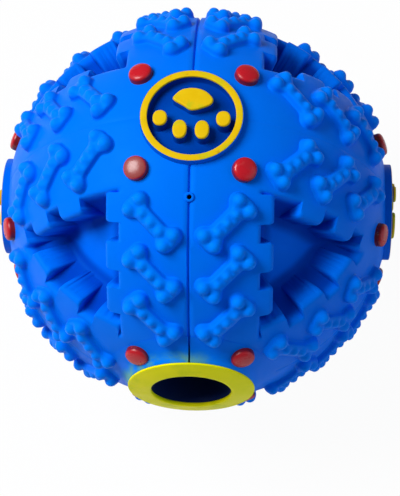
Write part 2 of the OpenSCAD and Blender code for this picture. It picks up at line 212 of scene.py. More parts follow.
def feed(tree, socket, value):
    """Gives a socket a link from another socket, or a value of its own."""
    if isinstance(value, bpy.types.NodeSocket):
        tree.links.new(value, socket)
    else:
        socket.default_value = value


def add_node(tree, kind, inputs=None, **settings):
    """Adds a node, sets its settings, and gives its inputs values or links."""
    made = tree.nodes.new(kind)
    for name, value in settings.items():
        setattr(made, name, value)
    for key, value in (inputs or {}).items():
        feed(tree, made.inputs[key], value)
    return made


def calc(tree, operation, *values):
    """One Math node; gives its output socket."""
    return add_node(tree, "ShaderNodeMath", dict(enumerate(values)), operation=operation).outputs[0]


def ramp(tree, value, low, high, out_low=0.0, out_high=1.0):
    """A smooth step from out_low to out_high while the value goes from low to high."""
    return add_node(tree, "ShaderNodeMapRange", {"Value": value, "From Min": low, "From Max": high,
                                                 "To Min": out_low, "To Max": out_high},
                    interpolation_type="SMOOTHSTEP").outputs["Result"]


# Numbers of the Mix node's colour sockets, which come after those for floats and vectors
MIX_INPUTS = (6, 7)
MIX_OUTPUT = 2


def mix_colour(tree, share, first, second):
    """Mixes two colours, each a triple or a socket; gives the socket of the result."""
    made = add_node(tree, "ShaderNodeMix", {"Factor": share}, data_type="RGBA", clamp_factor=True)
    for number, colour in zip(MIX_INPUTS, (first, second)):
        plain = not isinstance(colour, bpy.types.NodeSocket)
        feed(tree, made.inputs[number], (*colour, 1.0) if plain else colour)
    return made.outputs[MIX_OUTPUT]


def blend_in(tree, base, colour, mask, share):
    """Mixes a colour into the base where a mask is on, up to a share."""
    return mix_colour(tree, calc(tree, "MULTIPLY", mask, share), base, colour)


def noise(tree, place, size, detail, roughness, distortion=0.0):
    """Noise with features of about the size given; gives the socket of its factor."""
    return add_node(tree, "ShaderNodeTexNoise",
                    {"Vector": place, "Scale": calc(tree, "DIVIDE", 1.0, size), "Detail": detail,
                     "Roughness": roughness, "Distortion": distortion}).outputs["Fac"]


# Kinds of socket by the type of their default
SOCKET_KINDS = {float: "NodeSocketFloat", int: "NodeSocketInt", tuple: "NodeSocketVector"}


def new_group(name, kind, inputs, outputs, output_kind="NodeSocketFloat"):
    """A node group. Each named input has a default, or the kind of its socket where it has none."""
    group = bpy.data.node_groups.new(name, kind)
    for label, default in inputs.items():
        socket = SOCKET_KINDS.get(type(default), default)
        made = group.interface.new_socket(label, in_out="INPUT", socket_type=socket)
        if socket != default:
            made.default_value = default
    for label in outputs:
        group.interface.new_socket(label, in_out="OUTPUT", socket_type=output_kind)
    return group


def grain_group():
    """Fine grain and slow waves of a moulded or painted surface: a height and a mottling mask."""
    name = "Moulded Grain"
    if name in bpy.data.node_groups:
        return bpy.data.node_groups[name]
    group = new_group(name, "ShaderNodeTree", {"Grain Size": 0.0004, "Wave Size": 0.006, "Wave Share": 0.6},
                      ("Height", "Mottle"))
    source = group.nodes.new("NodeGroupInput").outputs
    place = add_node(group, "ShaderNodeTexCoord").outputs["Object"]
    fine = noise(group, place, source["Grain Size"], 2.0, 0.55)
    wave = noise(group, place, source["Wave Size"], 3.0, 0.5)
    fine_part = calc(group, "MULTIPLY", fine, calc(group, "SUBTRACT", 1.0, source["Wave Share"]))
    height = calc(group, "MULTIPLY_ADD", wave, source["Wave Share"], fine_part)
    add_node(group, "NodeGroupOutput", {"Height": height, "Mottle": ramp(group, wave, 0.3, 0.7)})
    return group


def wear_group():
    """Patches where thin paint has rubbed away or pooled: a mask that grows with Amount."""
    name = "Paint Wear"
    if name in bpy.data.node_groups:
        return bpy.data.node_groups[name]
    group = new_group(name, "ShaderNodeTree",
                      {"Patch Size": 0.004, "Amount": 0.2, "Softness": 0.06, "Offset": (0, 0, 0)}, ("Mask",))
    source = group.nodes.new("NodeGroupInput").outputs
    place = add_node(group, "ShaderNodeTexCoord").outputs["Object"]
    shifted = add_node(group, "ShaderNodeVectorMath", {0: place, 1: source["Offset"]}, operation="ADD")
    patch = noise(group, shifted.outputs[0], source["Patch Size"], 4.0, 0.6, 0.4)
    edge = calc(group, "SUBTRACT", 1.0, source["Amount"])
    low = calc(group, "SUBTRACT", edge, source["Softness"])
    high = calc(group, "ADD", edge, source["Softness"])
    add_node(group, "NodeGroupOutput", {"Mask": ramp(group, patch, low, high)})
    return group


def place_group():
    """Where a point of the ball lies: its distance from the centre, and from a given point."""
    name = "Place On Ball"
    if name in bpy.data.node_groups:
        return bpy.data.node_groups[name]
    group = new_group(name, "ShaderNodeTree", {"Point": (0, 0, 0)}, ("Radius", "Distance", "X", "Y", "Z"))
    source = group.nodes.new("NodeGroupInput").outputs
    place = add_node(group, "ShaderNodeTexCoord").outputs["Object"]
    radius = add_node(group, "ShaderNodeVectorMath", {0: place}, operation="LENGTH").outputs["Value"]
    distance = add_node(group, "ShaderNodeVectorMath", {0: place, 1: source["Point"]},
                        operation="DISTANCE").outputs["Value"]
    axes = add_node(group, "ShaderNodeSeparateXYZ", {0: place}).outputs
    add_node(group, "NodeGroupOutput", {"Radius": radius, "Distance": distance, "X": axes[0], "Y": axes[1],
                                        "Z": axes[2]})
    return group


def use_group(tree, group, **values):
    """Adds a group to a tree, with values or links for its inputs; gives its outputs."""
    made = tree.nodes.new("ShaderNodeGroup")
    made.node_tree = group
    for label, value in values.items():
        feed(tree, made.inputs[label.replace("_", " ")], value)
    return made.outputs


# Materials

def new_material(name):
    """A material with its tree and its Principled shader."""
    material = bpy.data.materials.new(name)
    material.use_nodes = True
    tree = material.node_tree
    return material, tree, tree.nodes["Principled BSDF"]


def shared_material(fill):
    """Turns a function that fills a tree into one that makes its material once and finds it afterwards."""
    @functools.wraps(fill)
    def material():
        if fill.__name__ not in bpy.data.materials:
            fill(*new_material(fill.__name__)[1:])
        return bpy.data.materials[fill.__name__]
    return material


def set_surface(tree, shader, base, grain, rough, specular, tint=(1, 1, 1), bump=(0.0002, 0.35)):
    """Gives a shader its colour, range of roughness and reflections, and its bump's depth and strength."""
    tree.links.new(base, shader.inputs["Base Color"])
    tree.links.new(ramp(tree, grain["Mottle"], 0.0, 1.0, *rough), shader.inputs["Roughness"])
    shader.inputs["Specular IOR Level"].default_value = specular
    shader.inputs["Specular Tint"].default_value = (*tint, 1.0)
    distance, strength = bump
    relief = add_node(tree, "ShaderNodeBump",
                      {"Height": grain["Height"], "Distance": distance, "Strength": strength})
    tree.links.new(relief.outputs["Normal"], shader.inputs["Normal"])


def darker(colour, share):
    """A colour darkened to a share of itself."""
    return [share * part for part in colour]


def notch_shade_mask(tree, place, ball):
    """A mask for painted shade between the tabs, close to the pockets' walls."""
    axes = [calc(tree, "ABSOLUTE", place[name]) for name in ("X", "Y", "Z")]
    least = calc(tree, "MINIMUM", calc(tree, "MINIMUM", axes[0], axes[1]), axes[2])
    below = ramp(tree, place["Radius"], ball - 0.0008, ball - 0.0035)
    return calc(tree, "MULTIPLY", ramp(tree, least, 0.0229, 0.0200), below)


def port_dust(tree, place):
    """A mask for overspray round the treat port, thickest on the left and towards the top badge."""
    from_axis = calc(tree, "SQRT", calc(tree, "ADD", calc(tree, "POWER", place["X"], 2.0),
                                        calc(tree, "POWER", place["Z"], 2.0)))
    near_port = ramp(tree, from_axis, 0.0208, 0.0178)
    front = ramp(tree, place["Y"], -0.048, -0.052)
    patch = use_group(tree, wear_group(), Patch_Size=0.006, Amount=0.52, Softness=0.16)
    lean = calc(tree, "MULTIPLY_ADD", place["Z"], -0.6, place["X"])
    away = ramp(tree, lean, 0.004, -0.014, 0.06, 1.0)
    around = calc(tree, "MULTIPLY", calc(tree, "MULTIPLY", near_port, front), away)
    return calc(tree, "MULTIPLY", around, patch["Mask"])


@shared_material
def moulded_vinyl(tree, shader):
    """Blue vinyl: painted highlight on the bones' crowns, painted light deep in the pockets, painted shade
    between the tabs, dusted with paint by the port.
    """
    shade, size = colours(), sizes()
    ball = size.ball_radius
    place = use_group(tree, place_group())
    grain = use_group(tree, grain_group(), Grain_Size=0.0007, Wave_Size=0.009, Wave_Share=0.55)
    # Painted highlight: the bones' crowns lighten towards their tops
    crown_highlight_mask = ramp(tree, place["Radius"], ball + 0.0008, ball + size.bone_rise)
    # Painted light: slightly lighter blue deep in the pockets
    depth = ramp(tree, place["Radius"], ball - 0.0015, ball - size.pocket_depth)
    base = mix_colour(tree, crown_highlight_mask, shade.vinyl, shade.vinyl_painted_crown_highlight)
    base = mix_colour(tree, depth, base, shade.vinyl_depth_painted_light)
    # Painted shade between the pockets' tabs
    base = blend_in(tree, base, shade.vinyl_notch_painted_shade, notch_shade_mask(tree, place, ball), 0.85)
    base = blend_in(tree, base, darker(shade.vinyl, 0.82), grain["Mottle"], 0.16)
    dust = port_dust(tree, place)
    base = blend_in(tree, base, shade.overspray, dust, 0.85)
    base = blend_in(tree, base, shade.collar, calc(tree, "POWER", dust, 2.0), 0.15)
    set_surface(tree, shader, base, grain, (0.40, 0.50), 0.08, (0.02, 0.6, 1.0))


@shared_material
def navy_vinyl(tree, shader):
    """Navy badge, its floor painted darker towards the ring as shade in the recess and lighter in its middle.
    """
    shade = colours()
    place = use_group(tree, place_group())
    grain = use_group(tree, grain_group(), Grain_Size=0.0006, Wave_Size=0.005, Wave_Share=0.5)
    axes = [calc(tree, "ABSOLUTE", place[name]) for name in ("X", "Y", "Z")]
    reach = calc(tree, "MAXIMUM", calc(tree, "MAXIMUM", axes[0], axes[1]), axes[2])
    radius_squared = calc(tree, "POWER", place["Radius"], 2.0)
    squared = calc(tree, "SUBTRACT", radius_squared, calc(tree, "POWER", reach, 2.0))
    off_axis = calc(tree, "SQRT", calc(tree, "MAXIMUM", squared, 0.0))
    # Painted shade: the floor darkens from its middle towards the ring's wall
    base = mix_colour(tree, ramp(tree, off_axis, 0.0105, 0.004), shade.badge, shade.badge_painted_lit_middle)
    base = blend_in(tree, base, darker(shade.badge, 0.7), grain["Mottle"], 0.25)
    base = mix_colour(tree, ramp(tree, off_axis, 0.0138, 0.0141), base, darker(shade.vinyl, 0.8))
    set_surface(tree, shader, base, grain, (0.36, 0.48), 0.05, (0.02, 0.5, 1.0), (0.0002, 0.3))


@shared_material
def yellow_paint(tree, shader):
    """Yellow paint on vinyl: greenish where it is thin, brown where it has rubbed and gathered dirt."""
    grain = use_group(tree, grain_group(), Grain_Size=0.0005, Wave_Size=0.003, Wave_Share=0.5)
    thin = use_group(tree, wear_group(), Patch_Size=0.007, Amount=0.40, Softness=0.10)
    rubbed = use_group(tree, wear_group(), Patch_Size=0.0035, Amount=0.30, Softness=0.04,
                       Offset=(0.02, 0.01, 0.03))
    base = blend_in(tree, colours().yellow, (0.86, 0.60, 0.01), grain["Mottle"], 0.3)
    base = blend_in(tree, base, (0.42, 0.52, 0.015), thin["Mask"], 0.65)
    base = blend_in(tree, base, (0.55, 0.22, 0.012), rubbed["Mask"], 0.6)
    set_surface(tree, shader, base, grain, (0.34, 0.46), 0.2, (1.0, 0.8, 0.2), (0.00015, 0.4))


@shared_material
def greenish_paint(tree, shader):
    """Greenish yellow paint on the port's collar, sprayed unevenly over blue."""
    grain = use_group(tree, grain_group(), Grain_Size=0.0006, Wave_Size=0.006, Wave_Share=0.5)
    thin = use_group(tree, wear_group(), Patch_Size=0.009, Amount=0.38, Softness=0.10)
    base = blend_in(tree, colours().collar, (0.78, 0.78, 0.003), grain["Mottle"], 0.4)
    base = blend_in(tree, base, (0.46, 0.60, 0.006), thin["Mask"], 0.35)
    set_surface(tree, shader, base, grain, (0.36, 0.48), 0.06, (1.0, 0.9, 0.2))


@shared_material
def red_paint(tree, shader):
    """Glossy red paint on the studs: painted shade darkens their sides, and the one handled most is rubbed to
    pink.
    """
    shade, size = colours(), sizes()
    ball = size.ball_radius
    slant = math.sin(size.stud_angle) * math.sqrt(0.5)
    handled_stud = Vector((-slant, -slant, math.cos(size.stud_angle))) * (ball + 0.0022)
    place = use_group(tree, place_group(), Point=handled_stud)
    grain = use_group(tree, grain_group(), Grain_Size=0.0005, Wave_Size=0.0035, Wave_Share=0.6)
    scuff = use_group(tree, wear_group(), Patch_Size=0.003, Amount=0.34, Softness=0.05)
    # Painted shade: the studs' sides are darker than their tops
    top = ramp(tree, place["Radius"], ball + 0.0010, ball + 0.0019)
    base = mix_colour(tree, top, shade.red_side_painted_shade, shade.red)
    base = blend_in(tree, base, (0.34, 0.006, 0.012), grain["Mottle"], 0.3)
    base = blend_in(tree, base, (0.62, 0.05, 0.05), scuff["Mask"], 0.35)
    base = blend_in(tree, base, (0.34, 0.07, 0.065), ramp(tree, place["Distance"], 0.0034, 0.0027), top)
    set_surface(tree, shader, base, grain, (0.22, 0.36), 0.4, bump=(0.00015, 0.35))


def plain_moulding(name, colour, roughness, specular, metallic=0.0):
    """A moulded or turned finish for the pieces inside the ball."""
    material, tree, shader = new_material(name)
    grain = use_group(tree, grain_group(), Grain_Size=0.0006, Wave_Size=0.005, Wave_Share=0.5)
    base = blend_in(tree, colour, darker(colour, 0.75), grain["Mottle"], 0.3)
    shader.inputs["Metallic"].default_value = metallic
    rough = (roughness - 0.05, roughness + 0.07)
    set_surface(tree, shader, base, grain, rough, specular, bump=(0.0002, 0.25))
    return material


# Meshes

def fill_mesh(mesh, points, faces):
    """Fills a mesh from points in metres and a list of index arrays, each with faces of one width."""
    points = np.asarray(points, np.float32)
    corners = np.concatenate([np.asarray(part, np.int32).reshape(-1) for part in faces])
    widths = np.concatenate([np.full(len(part), np.asarray(part).shape[1], np.int32) for part in faces])
    starts = np.concatenate([[0], np.cumsum(widths)[:-1]]).astype(np.int32)
    mesh.vertices.add(len(points))
    mesh.vertices.foreach_set("co", points.reshape(-1))
    mesh.loops.add(len(corners))
    mesh.loops.foreach_set("vertex_index", corners)
    mesh.polygons.add(len(widths))
    mesh.polygons.foreach_set("loop_start", starts)
    mesh.update(calc_edges=True)
    mesh.validate()


def add_object(name, data):
    """Puts new data into the scene as an object at the origin."""
    made = bpy.data.objects.new(name, data)
    bpy.context.scene.collection.objects.link(made)
    return made


def new_object(name, mesh, material=None, crease=None):
    """Adds a finished mesh, shaded smooth except at edges sharper than crease degrees."""
    mesh.name = name
    if material:
        mesh.materials.clear()
        mesh.polygons.foreach_set("material_index", np.zeros(len(mesh.polygons), np.int32))
        mesh.materials.append(material)
    mesh.shade_smooth()
    if crease is not None:
        mesh.set_sharp_from_angle(angle=math.radians(crease))
    return add_object(name, mesh)


def evaluated_mesh(made):
    """The plain mesh of an object with its modifiers, which the object then loses."""
    graph = bpy.context.evaluated_depsgraph_get()
    mesh = bpy.data.meshes.new_from_object(made.evaluated_get(graph), preserve_all_data_layers=True,
                                           depsgraph=graph)
    made.modifiers.clear()
    return mesh


def remove_object(made):
    mesh = made.data
    bpy.data.objects.remove(made)
    if mesh.users == 0:
        bpy.data.meshes.remove(mesh)


def face_matrix(face, spin=0.0):
    """Carries a piece that points along +Z to one of the six faces."""
    turn_x, turn_y = FACE_TURNS[face]
    return (Matrix.Rotation(math.radians(turn_y), 4, "Y") @ Matrix.Rotation(math.radians(turn_x), 4, "X")
            @ Matrix.Rotation(math.radians(spin), 4, "Z"))


def lathe(profile, segments, closed=False):
    """Points and faces of a profile of (radius, height) turned about Z. It runs from the top's middle,
    down the outside, to the bottom's middle, or closed, round a ring with the outside going down."""
    turns = np.linspace(0, 2 * math.pi, segments, endpoint=False)
    points, rows = [], []
    for radius, height in profile:
        if radius == 0:
            rows.append([len(points)])
            points.append((0, 0, height))
            continue
        rows.append(range(len(points), len(points) + segments))
        points.extend((radius * math.cos(t), radius * math.sin(t), height) for t in turns)
    quads, triangles = [], []
    pairs = list(zip(rows, rows[1:])) + ([(rows[-1], rows[0])] if closed else [])
    for upper, lower in pairs:
        for i in range(segments):
            j = (i + 1) % segments
            if len(upper) == 1:
                triangles.append((upper[0], lower[i], lower[j]))
            elif len(lower) == 1:
                triangles.append((upper[i], lower[0], upper[j]))
            else:
                quads.append((upper[i], lower[i], lower[j], upper[j]))
    return points, [part for part in (quads, triangles) if part]


# Steps of each rounded corner of a profile
CORNER_STEPS = 4


def rounded(profile, radius):
    """A closed profile with its corners rounded, as far as its sides allow."""
    corners = [Vector(p) for p in profile]
    result = []
    for i, corner in enumerate(corners):
        before, after = corners[i - 1] - corner, corners[(i + 1) % len(corners)] - corner
        reach = min(radius, before.length * 0.45, after.length * 0.45)
        start, end = corner + before.normalized() * reach, corner + after.normalized() * reach
        for k in range(CORNER_STEPS + 1):
            t = k / CORNER_STEPS
            result.append(tuple(start * (1 - t) ** 2 + corner * (2 * t * (1 - t)) + end * t ** 2))
    return result


def row_quads(rows, count):
    """Quads between rows of a closed outline with count points, each row above the one before."""
    quads = []
    for row in range(rows - 1):
        for i in range(count):
            j = (i + 1) % count
            quads.append((row * count + i, row * count + j, (row + 1) * count + j, (row + 1) * count + i))
    return quads


def merged(parts):
    """Joins several (points, faces) into one."""
    points, faces = [], {}
    for part_points, part_faces in parts:
        base = len(points)
        points.extend(part_points)
        for group in part_faces:
            for face in group:
                faces.setdefault(len(face), []).append([base + corner for corner in face])
    return points, list(faces.values())


def made_mesh(points, faces, matrix=None):
    mesh = bpy.data.meshes.new("mesh")
    fill_mesh(mesh, np.asarray(points, float) * MM, faces)
    if matrix is not None:
        mesh.transform(matrix)
        mesh.update()
    return mesh


def smooth_min(a, b, blend):
    h = np.clip(blend - np.abs(a - b), 0, None) / blend
    return np.minimum(a, b) - h * h * blend / 4


def smooth_max(a, b, blend):
    return -smooth_min(-a, -b, blend)


def smooth_step(value):
    t = np.clip(value, 0, 1)
    return t * t * (3 - 2 * t)


# The half shells

# Middles of the tabs in each quarter of a tread, in degrees
TAB_ARCS = (26.5, 41.0, 55.5)
# The same for the tread that runs over the top and the two sides
SIDE_TAB_ARCS = (39.5, 54.0, 68.5)
TAB_HALF_ARC = 4.5
# A tab's rise, as shares, at these arcs in from its flank, in degrees
FLANK_ARCS = (-0.12, 0.12, 0.4, 0.9)
FLANK_SHARES = (0.0, 0.80, 0.94, 1.0)
# Arc from a face's middle at which the close grid of the pockets starts, in degrees
POCKET_START = 19.0
# Distance out from its foot over which a tab comes to its full rise, in millimetres like the lengths below
TAB_SLOPE = 7.5
# Blends where the walls of a pocket meet each other and its floor, and at its rim as a share of the rounding
WALL_BLEND = 0.5
FLOOR_BLEND = 1.8
RIM_BLEND = 1.6
# The rays that look for the skin: start above the ball, end below the pockets' floor, and steps between
RAY_START = 0.4
RAY_END = 0.8
RAY_STEPS = 64
SEAM_DEPTH = 0.75
# The mould's faint lines along the ball's two other middle planes
MOULD_LINE_DEPTH = 0.16
MOULD_LINE_HALF_WIDTH = 0.5
# How far on the tread's side of a pocket's wall the rays begin
POCKET_MARGIN = 2.5
# Lines of the inner skin's grid on half a face, and arc between the outer one's beside a badge, in degrees
INNER_LINES = 15
WIDE_SPACING = 1.25
# Radius, top and bottom of the cylinders that cut the round holes and the vent
ROUND_HOLE = (14.3, 66, 38)
VENT_HOLE = (1.0, 62, 50)
# Segments of the larger turned pieces
FINE_SEGMENTS = 128


def tab_rise_at(turn, middles, from_axis, size):
    """Height of the tabs at an angle along the tread, in degrees, and a distance from the tread's axis."""
    arc = np.mod(turn, 90.0)
    rise = np.zeros_like(arc)
    for middle in middles:
        rise = np.maximum(rise, np.interp(TAB_HALF_ARC - np.abs(arc - middle), FLANK_ARCS, FLANK_SHARES))
    return rise * smooth_step((from_axis - size.tab_foot / MM) / TAB_SLOPE) * size.tab_rise / MM


def pocket_lines(spacing):
    """Angles of the grid's lines in the pockets, with four beside each flank of a tab."""
    ends = [middle + side * TAB_HALF_ARC for middle in TAB_ARCS + SIDE_TAB_ARCS for side in (-1, 1)]
    flanks = [min(end, 90 - end) for end in ends if end < 90 - POCKET_START]
    beside = [flank + side * step for flank in flanks for side in (-1, 1) for step in FLANK_ARCS[1:3]]
    even = [arc for arc in np.arange(POCKET_START, 45, spacing)
            if min(abs(arc - other) for other in beside) > spacing * 0.45]
    return np.radians(sorted(even + beside + [45.0]))


def pocket_field(points, size):
    """Below zero inside the outer skin: a ball with corner pockets, walls, tabs and a round floor."""
    x, y, z = points[..., 0], points[..., 1], points[..., 2]
    radius = np.linalg.norm(points, axis=-1)
    wall = size.pocket_wall / MM
    side = np.abs(x)
    turns = (np.degrees(np.arctan2(-y, z)), np.degrees(np.arctan2(side, z)), np.degrees(np.arctan2(side, -y)))
    gaps = []
    for reach, turn, middles in zip((side, np.abs(y), np.abs(z)), turns, (TAB_ARCS, SIDE_TAB_ARCS, TAB_ARCS)):
        from_axis = np.sqrt(np.clip(radius ** 2 - reach ** 2, 0, None))
        gaps.append(reach - wall - tab_rise_at(turn, middles, from_axis, size))
    pocket = smooth_min(smooth_min(gaps[0], gaps[1], WALL_BLEND), gaps[2], WALL_BLEND)
    pocket = smooth_min(pocket, radius - (size.ball_radius - size.pocket_depth) / MM, FLOOR_BLEND)
    return smooth_max(radius - size.ball_radius / MM, pocket, size.rim_round / MM * RIM_BLEND)


def skin_radius(directions, size):
    """Distance from the centre at which each ray from outside first meets the solid."""
    ball = size.ball_radius / MM
    radii = np.linspace(ball + RAY_START, ball - size.pocket_depth / MM - RAY_END, RAY_STEPS)
    values = np.stack([pocket_field(directions * r, size) for r in radii], axis=1)
    inside = values < 0
    inside[:, -1] = True
    first = np.clip(inside.argmax(axis=1), 1, None)
    rows = np.arange(len(directions))
    high, low = values[rows, first - 1], values[rows, first]
    share = np.clip(high / np.where(np.abs(high - low) < 1e-9, 1e-9, high - low), 0, 1)
    return radii[first - 1] + (radii[first] - radii[first - 1]) * share


def cube_grid(seam_angles, wide_angles):
    """Directions and outward quads over the half ball on the +X side, from four half faces and one whole
    face of a cube blown up to a ball."""
    seam, wide = np.tan(seam_angles), np.tan(wide_angles)
    a, b = np.meshgrid(wide, wide, indexing="ij")
    patches = [(np.stack([np.ones_like(a), a, b], -1), False)]
    a, b = np.meshgrid(seam, wide, indexing="ij")
    one = np.ones_like(a)
    halves = (((a, b, one), False), ((a, b, -one), True), ((a, one, b), True), ((a, -one, b), False))
    patches += [(np.stack(axes, -1), flipped) for axes, flipped in halves]
    points, quads, base = [], [], 0
    for patch, flipped in patches:
        rows, columns = patch.shape[:2]
        number = base + np.arange(rows * columns).reshape(rows, columns)
        corners = (number[:-1, :-1], number[1:, :-1], number[1:, 1:], number[:-1, 1:])
        quad = np.stack(corners, -1).reshape(-1, 4)
        quads.append(quad[:, ::-1] if flipped else quad)
        points.append(patch.reshape(-1, 3))
        base += rows * columns
    points = np.concatenate(points)
    points /= np.linalg.norm(points, axis=1, keepdims=True)
    quads = np.concatenate(quads)
    _, first, back = np.unique(np.round(points, 6), axis=0, return_index=True, return_inverse=True)
    return points[first], back.reshape(-1)[quads]


def face_angles(fine, spacing):
    """Angles from a face's middle to its edge: close ones, wide ones by the badge, then the pockets'."""
    start = math.radians(POCKET_START)
    count = int(round((start - fine[-1]) / math.radians(WIDE_SPACING)))
    return np.concatenate([fine, np.linspace(fine[-1], start, count + 1)[1:-1], pocket_lines(spacing)])


def zip_loops(outer, outer_turn, inner, inner_turn):
    """Triangles between two closed loops of points, both sorted by their turn about X."""
    outer = outer[np.argsort(outer_turn)]
    inner = inner[np.argsort(inner_turn)]
    turn_o, turn_i = np.sort(outer_turn), np.sort(inner_turn)
    i = j = 0
    count_o, count_i = len(outer), len(inner)
    triangles = []
    while i < count_o or j < count_i:
        next_o = turn_o[(i + 1) % count_o] + (2 * math.pi if i + 1 >= count_o else 0)
        next_i = turn_i[(j + 1) % count_i] + (2 * math.pi if j + 1 >= count_i else 0)
        if j >= count_i or (i < count_o and next_o <= next_i):
            triangles.append((outer[i % count_o], outer[(i + 1) % count_o], inner[j % count_i]))
            i += 1
        else:
            triangles.append((outer[i % count_o], inner[(j + 1) % count_i], inner[j % count_i]))
            j += 1
    return np.array(triangles)


def on_seam(directions):
    return directions[:, 0] < 1e-7


def skin_points(directions, radius, size):
    """Points at their radius in each direction. Those on the seam stand a little off its plane."""
    points = directions * radius[:, None]
    points[on_seam(directions), 0] = size.seam_groove / MM * 0.1
    return points


def outer_skin(size, spacing):
    """Directions, points and quads of the right half shell's outer skin, with its groove along the seam."""
    ball, groove = size.ball_radius / MM, size.seam_groove / MM
    seam_angles = face_angles(np.array([0.0, 0.7, 1.0, 1.5, 2.8]) * groove / ball, spacing)
    line = face_angles(np.array([0.0, 0.22, MOULD_LINE_HALF_WIDTH]) / ball, spacing)
    directions, quads = cube_grid(seam_angles, np.concatenate([-line[:0:-1], line]))
    radius = np.full(len(directions), ball)
    in_pocket = np.abs(directions).min(axis=1) > (size.pocket_wall / MM - POCKET_MARGIN) / ball
    radius[in_pocket] = skin_radius(directions[in_pocket], size)
    across = directions[:, 0] * ball
    radius -= SEAM_DEPTH * smooth_step((groove * 2.0 - across) / (groove * 1.6)) * (across < groove * 2.0)
    for axis in (1, 2):
        beside = np.abs(directions[:, axis]) * ball
        radius -= MOULD_LINE_DEPTH * np.clip(1 - beside / MOULD_LINE_HALF_WIDTH, 0, 1)
    return directions, skin_points(directions, radius, size), quads


def inner_skin(size):
    """The same for the inner skin, a wall's thickness inside the ball and its pockets."""
    ball, wall = size.ball_radius / MM, size.shell_wall / MM
    floor = ball - size.pocket_depth / MM
    edge = math.pi / 4
    wide = np.linspace(-edge, edge, 2 * INNER_LINES - 1)
    directions, quads = cube_grid(np.linspace(0, edge, INNER_LINES), wide)
    least = np.clip(np.abs(directions).min(axis=1), 1e-6, None)
    radius = np.clip((size.pocket_wall / MM - wall) / least, floor - wall, ball - wall)
    return directions, skin_points(directions, radius, size), quads


def right_skin(size, spacing):
    """Points in millimetres and faces of the right half shell, closed, before its holes. The spacing is the
    arc between the grid's lines in the pockets, in degrees."""
    outer, outer_points, outer_quads = outer_skin(size, spacing)
    inner, inner_points, inner_quads = inner_skin(size)
    base = len(outer_points)
    loops = []
    for directions, first in ((outer, 0), (inner, base)):
        rim = np.where(on_seam(directions))[0]
        loops += [rim + first, np.arctan2(directions[rim, 2], directions[rim, 1])]
    quads = np.concatenate([outer_quads, inner_quads[:, ::-1] + base])
    return np.concatenate([outer_points, inner_points]), [quads, zip_loops(*loops)[:, ::-1]]


# The boss round the treat port: distance from the port's axis and height, in millimetres
BOSS_PROFILE = ((14.4, 52.0), (14.4, 56.9), (18.0, 56.9), (18.2, 56.75), (18.4, 56.1), (18.9, 55.1),
                (19.7, 54.3), (20.9, 53.55), (22.4, 52.75), (24.2, 51.7), (23.0, 50.8))


def half_ring(profile, side, gap, segments):
    """Points and faces of half a closed ring round Z, on one side of the seam and short of it by a gap."""
    turns = np.linspace(-math.pi / 2, math.pi / 2, segments + 1)
    rows = len(profile)
    points = [(side * max(radius * math.cos(t), gap), radius * math.sin(t), height)
              for t in turns for radius, height in profile]
    quads = [(k * rows + i, (k + 1) * rows + i, (k + 1) * rows + (i + 1) % rows, k * rows + (i + 1) % rows)
             for k in range(segments) for i in range(rows)]
    ends = [tuple(range(rows)), tuple(range(segments * rows, (segments + 1) * rows))[::-1]]
    faces = [quads, ends]
    if side > 0:
        faces = [[face[::-1] for face in part] for part in faces]
    return points, faces


def plug(radius, top, bottom, segments, turn):
    """A cylinder that cuts a hole. It is spun by a degree, so that its corners miss the half shells' grid."""
    points, faces = lathe([(0, top), (radius, top), (radius, bottom), (0, bottom)], segments)
    matrix = turn @ Matrix.Rotation(math.radians(1.0), 4, "Z")
    return [tuple(matrix @ Vector(p)) for p in points], faces


def hole_cutter(size):
    """Cylinders for the five badges, the treat port and the vent, as one object."""
    parts = [plug(*ROUND_HOLE, 160, face_matrix(face)) for face in FACES]
    parts.append(plug(*VENT_HOLE, 32, Matrix.Rotation(size.vent_angle, 4, "X")))
    return add_object("hole_cutter", made_mesh(*merged(parts)))


def cut_holes(made, cutter):
    cut = made.modifiers.new("holes", "BOOLEAN")
    cut.operation = "DIFFERENCE"
    cut.solver = "MANIFOLD"
    cut.object = cutter
    return evaluated_mesh(made)


class OBJECT_OT_treat_ball_shells(bpy.types.Operator):
    """Makes the two moulded half shells with their corner pockets, tabs and seam"""
    bl_idname = "object.treat_ball_shells"
    bl_label = "Half Shells"

    def execute(self, context):
        size = sizes()
        points, faces = right_skin(size, 0.5)
        cutter = hole_cutter(size)
        for side, node in ((1, "right_shell"), (-1, "left_shell")):
            half = points * (side, 1, 1)
            half_faces = faces if side > 0 else [part[:, ::-1] for part in faces]
            raw = add_object("raw_shell", made_mesh(half, half_faces))
            mesh = cut_holes(raw, cutter)
            remove_object(raw)
            shell = new_object(node + "_moulding", mesh, moulded_vinyl(), crease=55)
            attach(shell, "ball")
            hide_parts(node)
        remove_object(cutter)
        halves = [half_ring(BOSS_PROFILE, side, size.seam_groove / MM, 64) for side in (1, -1)]
        mesh = made_mesh(*merged(halves), face_matrix("port"))
        boss = new_object("port_boss_moulding", mesh, moulded_vinyl(), crease=50)
        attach(boss, "ball")
        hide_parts("left_shell", "right_shell")
        return {"FINISHED"}


# The raised bones, in millimetres

BONE_COUNT = 72
# Points of a bone's outline, and the distance between the points of its top
BONE_POINTS = 72
BONE_GRID = 0.62
# Rows of a bone's side, from its flared foot up: reach out from the outline, and height above the ball
BONE_SIDE = ((0.75, -0.4), (0.52, -0.02), (0.26, 0.12), (0.09, 0.42), (0.02, 0.85), (-0.06, 1.25))
# How far inside the outline the bone's top begins
BONE_TOP_INSET = 0.24
# Half length and half width of a box round the bone's top, and of an ellipse that shrinks onto its outline
BONE_BOX = (9.2, 4.4)
BONE_ELLIPSE = (9.6, 4.6)
SHRINK_STEPS = 60
SETTLE_STEPS = 10
# Shares of the bone's rise: its plate's height and that of the beads on its shaft
PLATE_HEIGHT = 0.60
SHAFT_BEAD_HEIGHT = 0.90
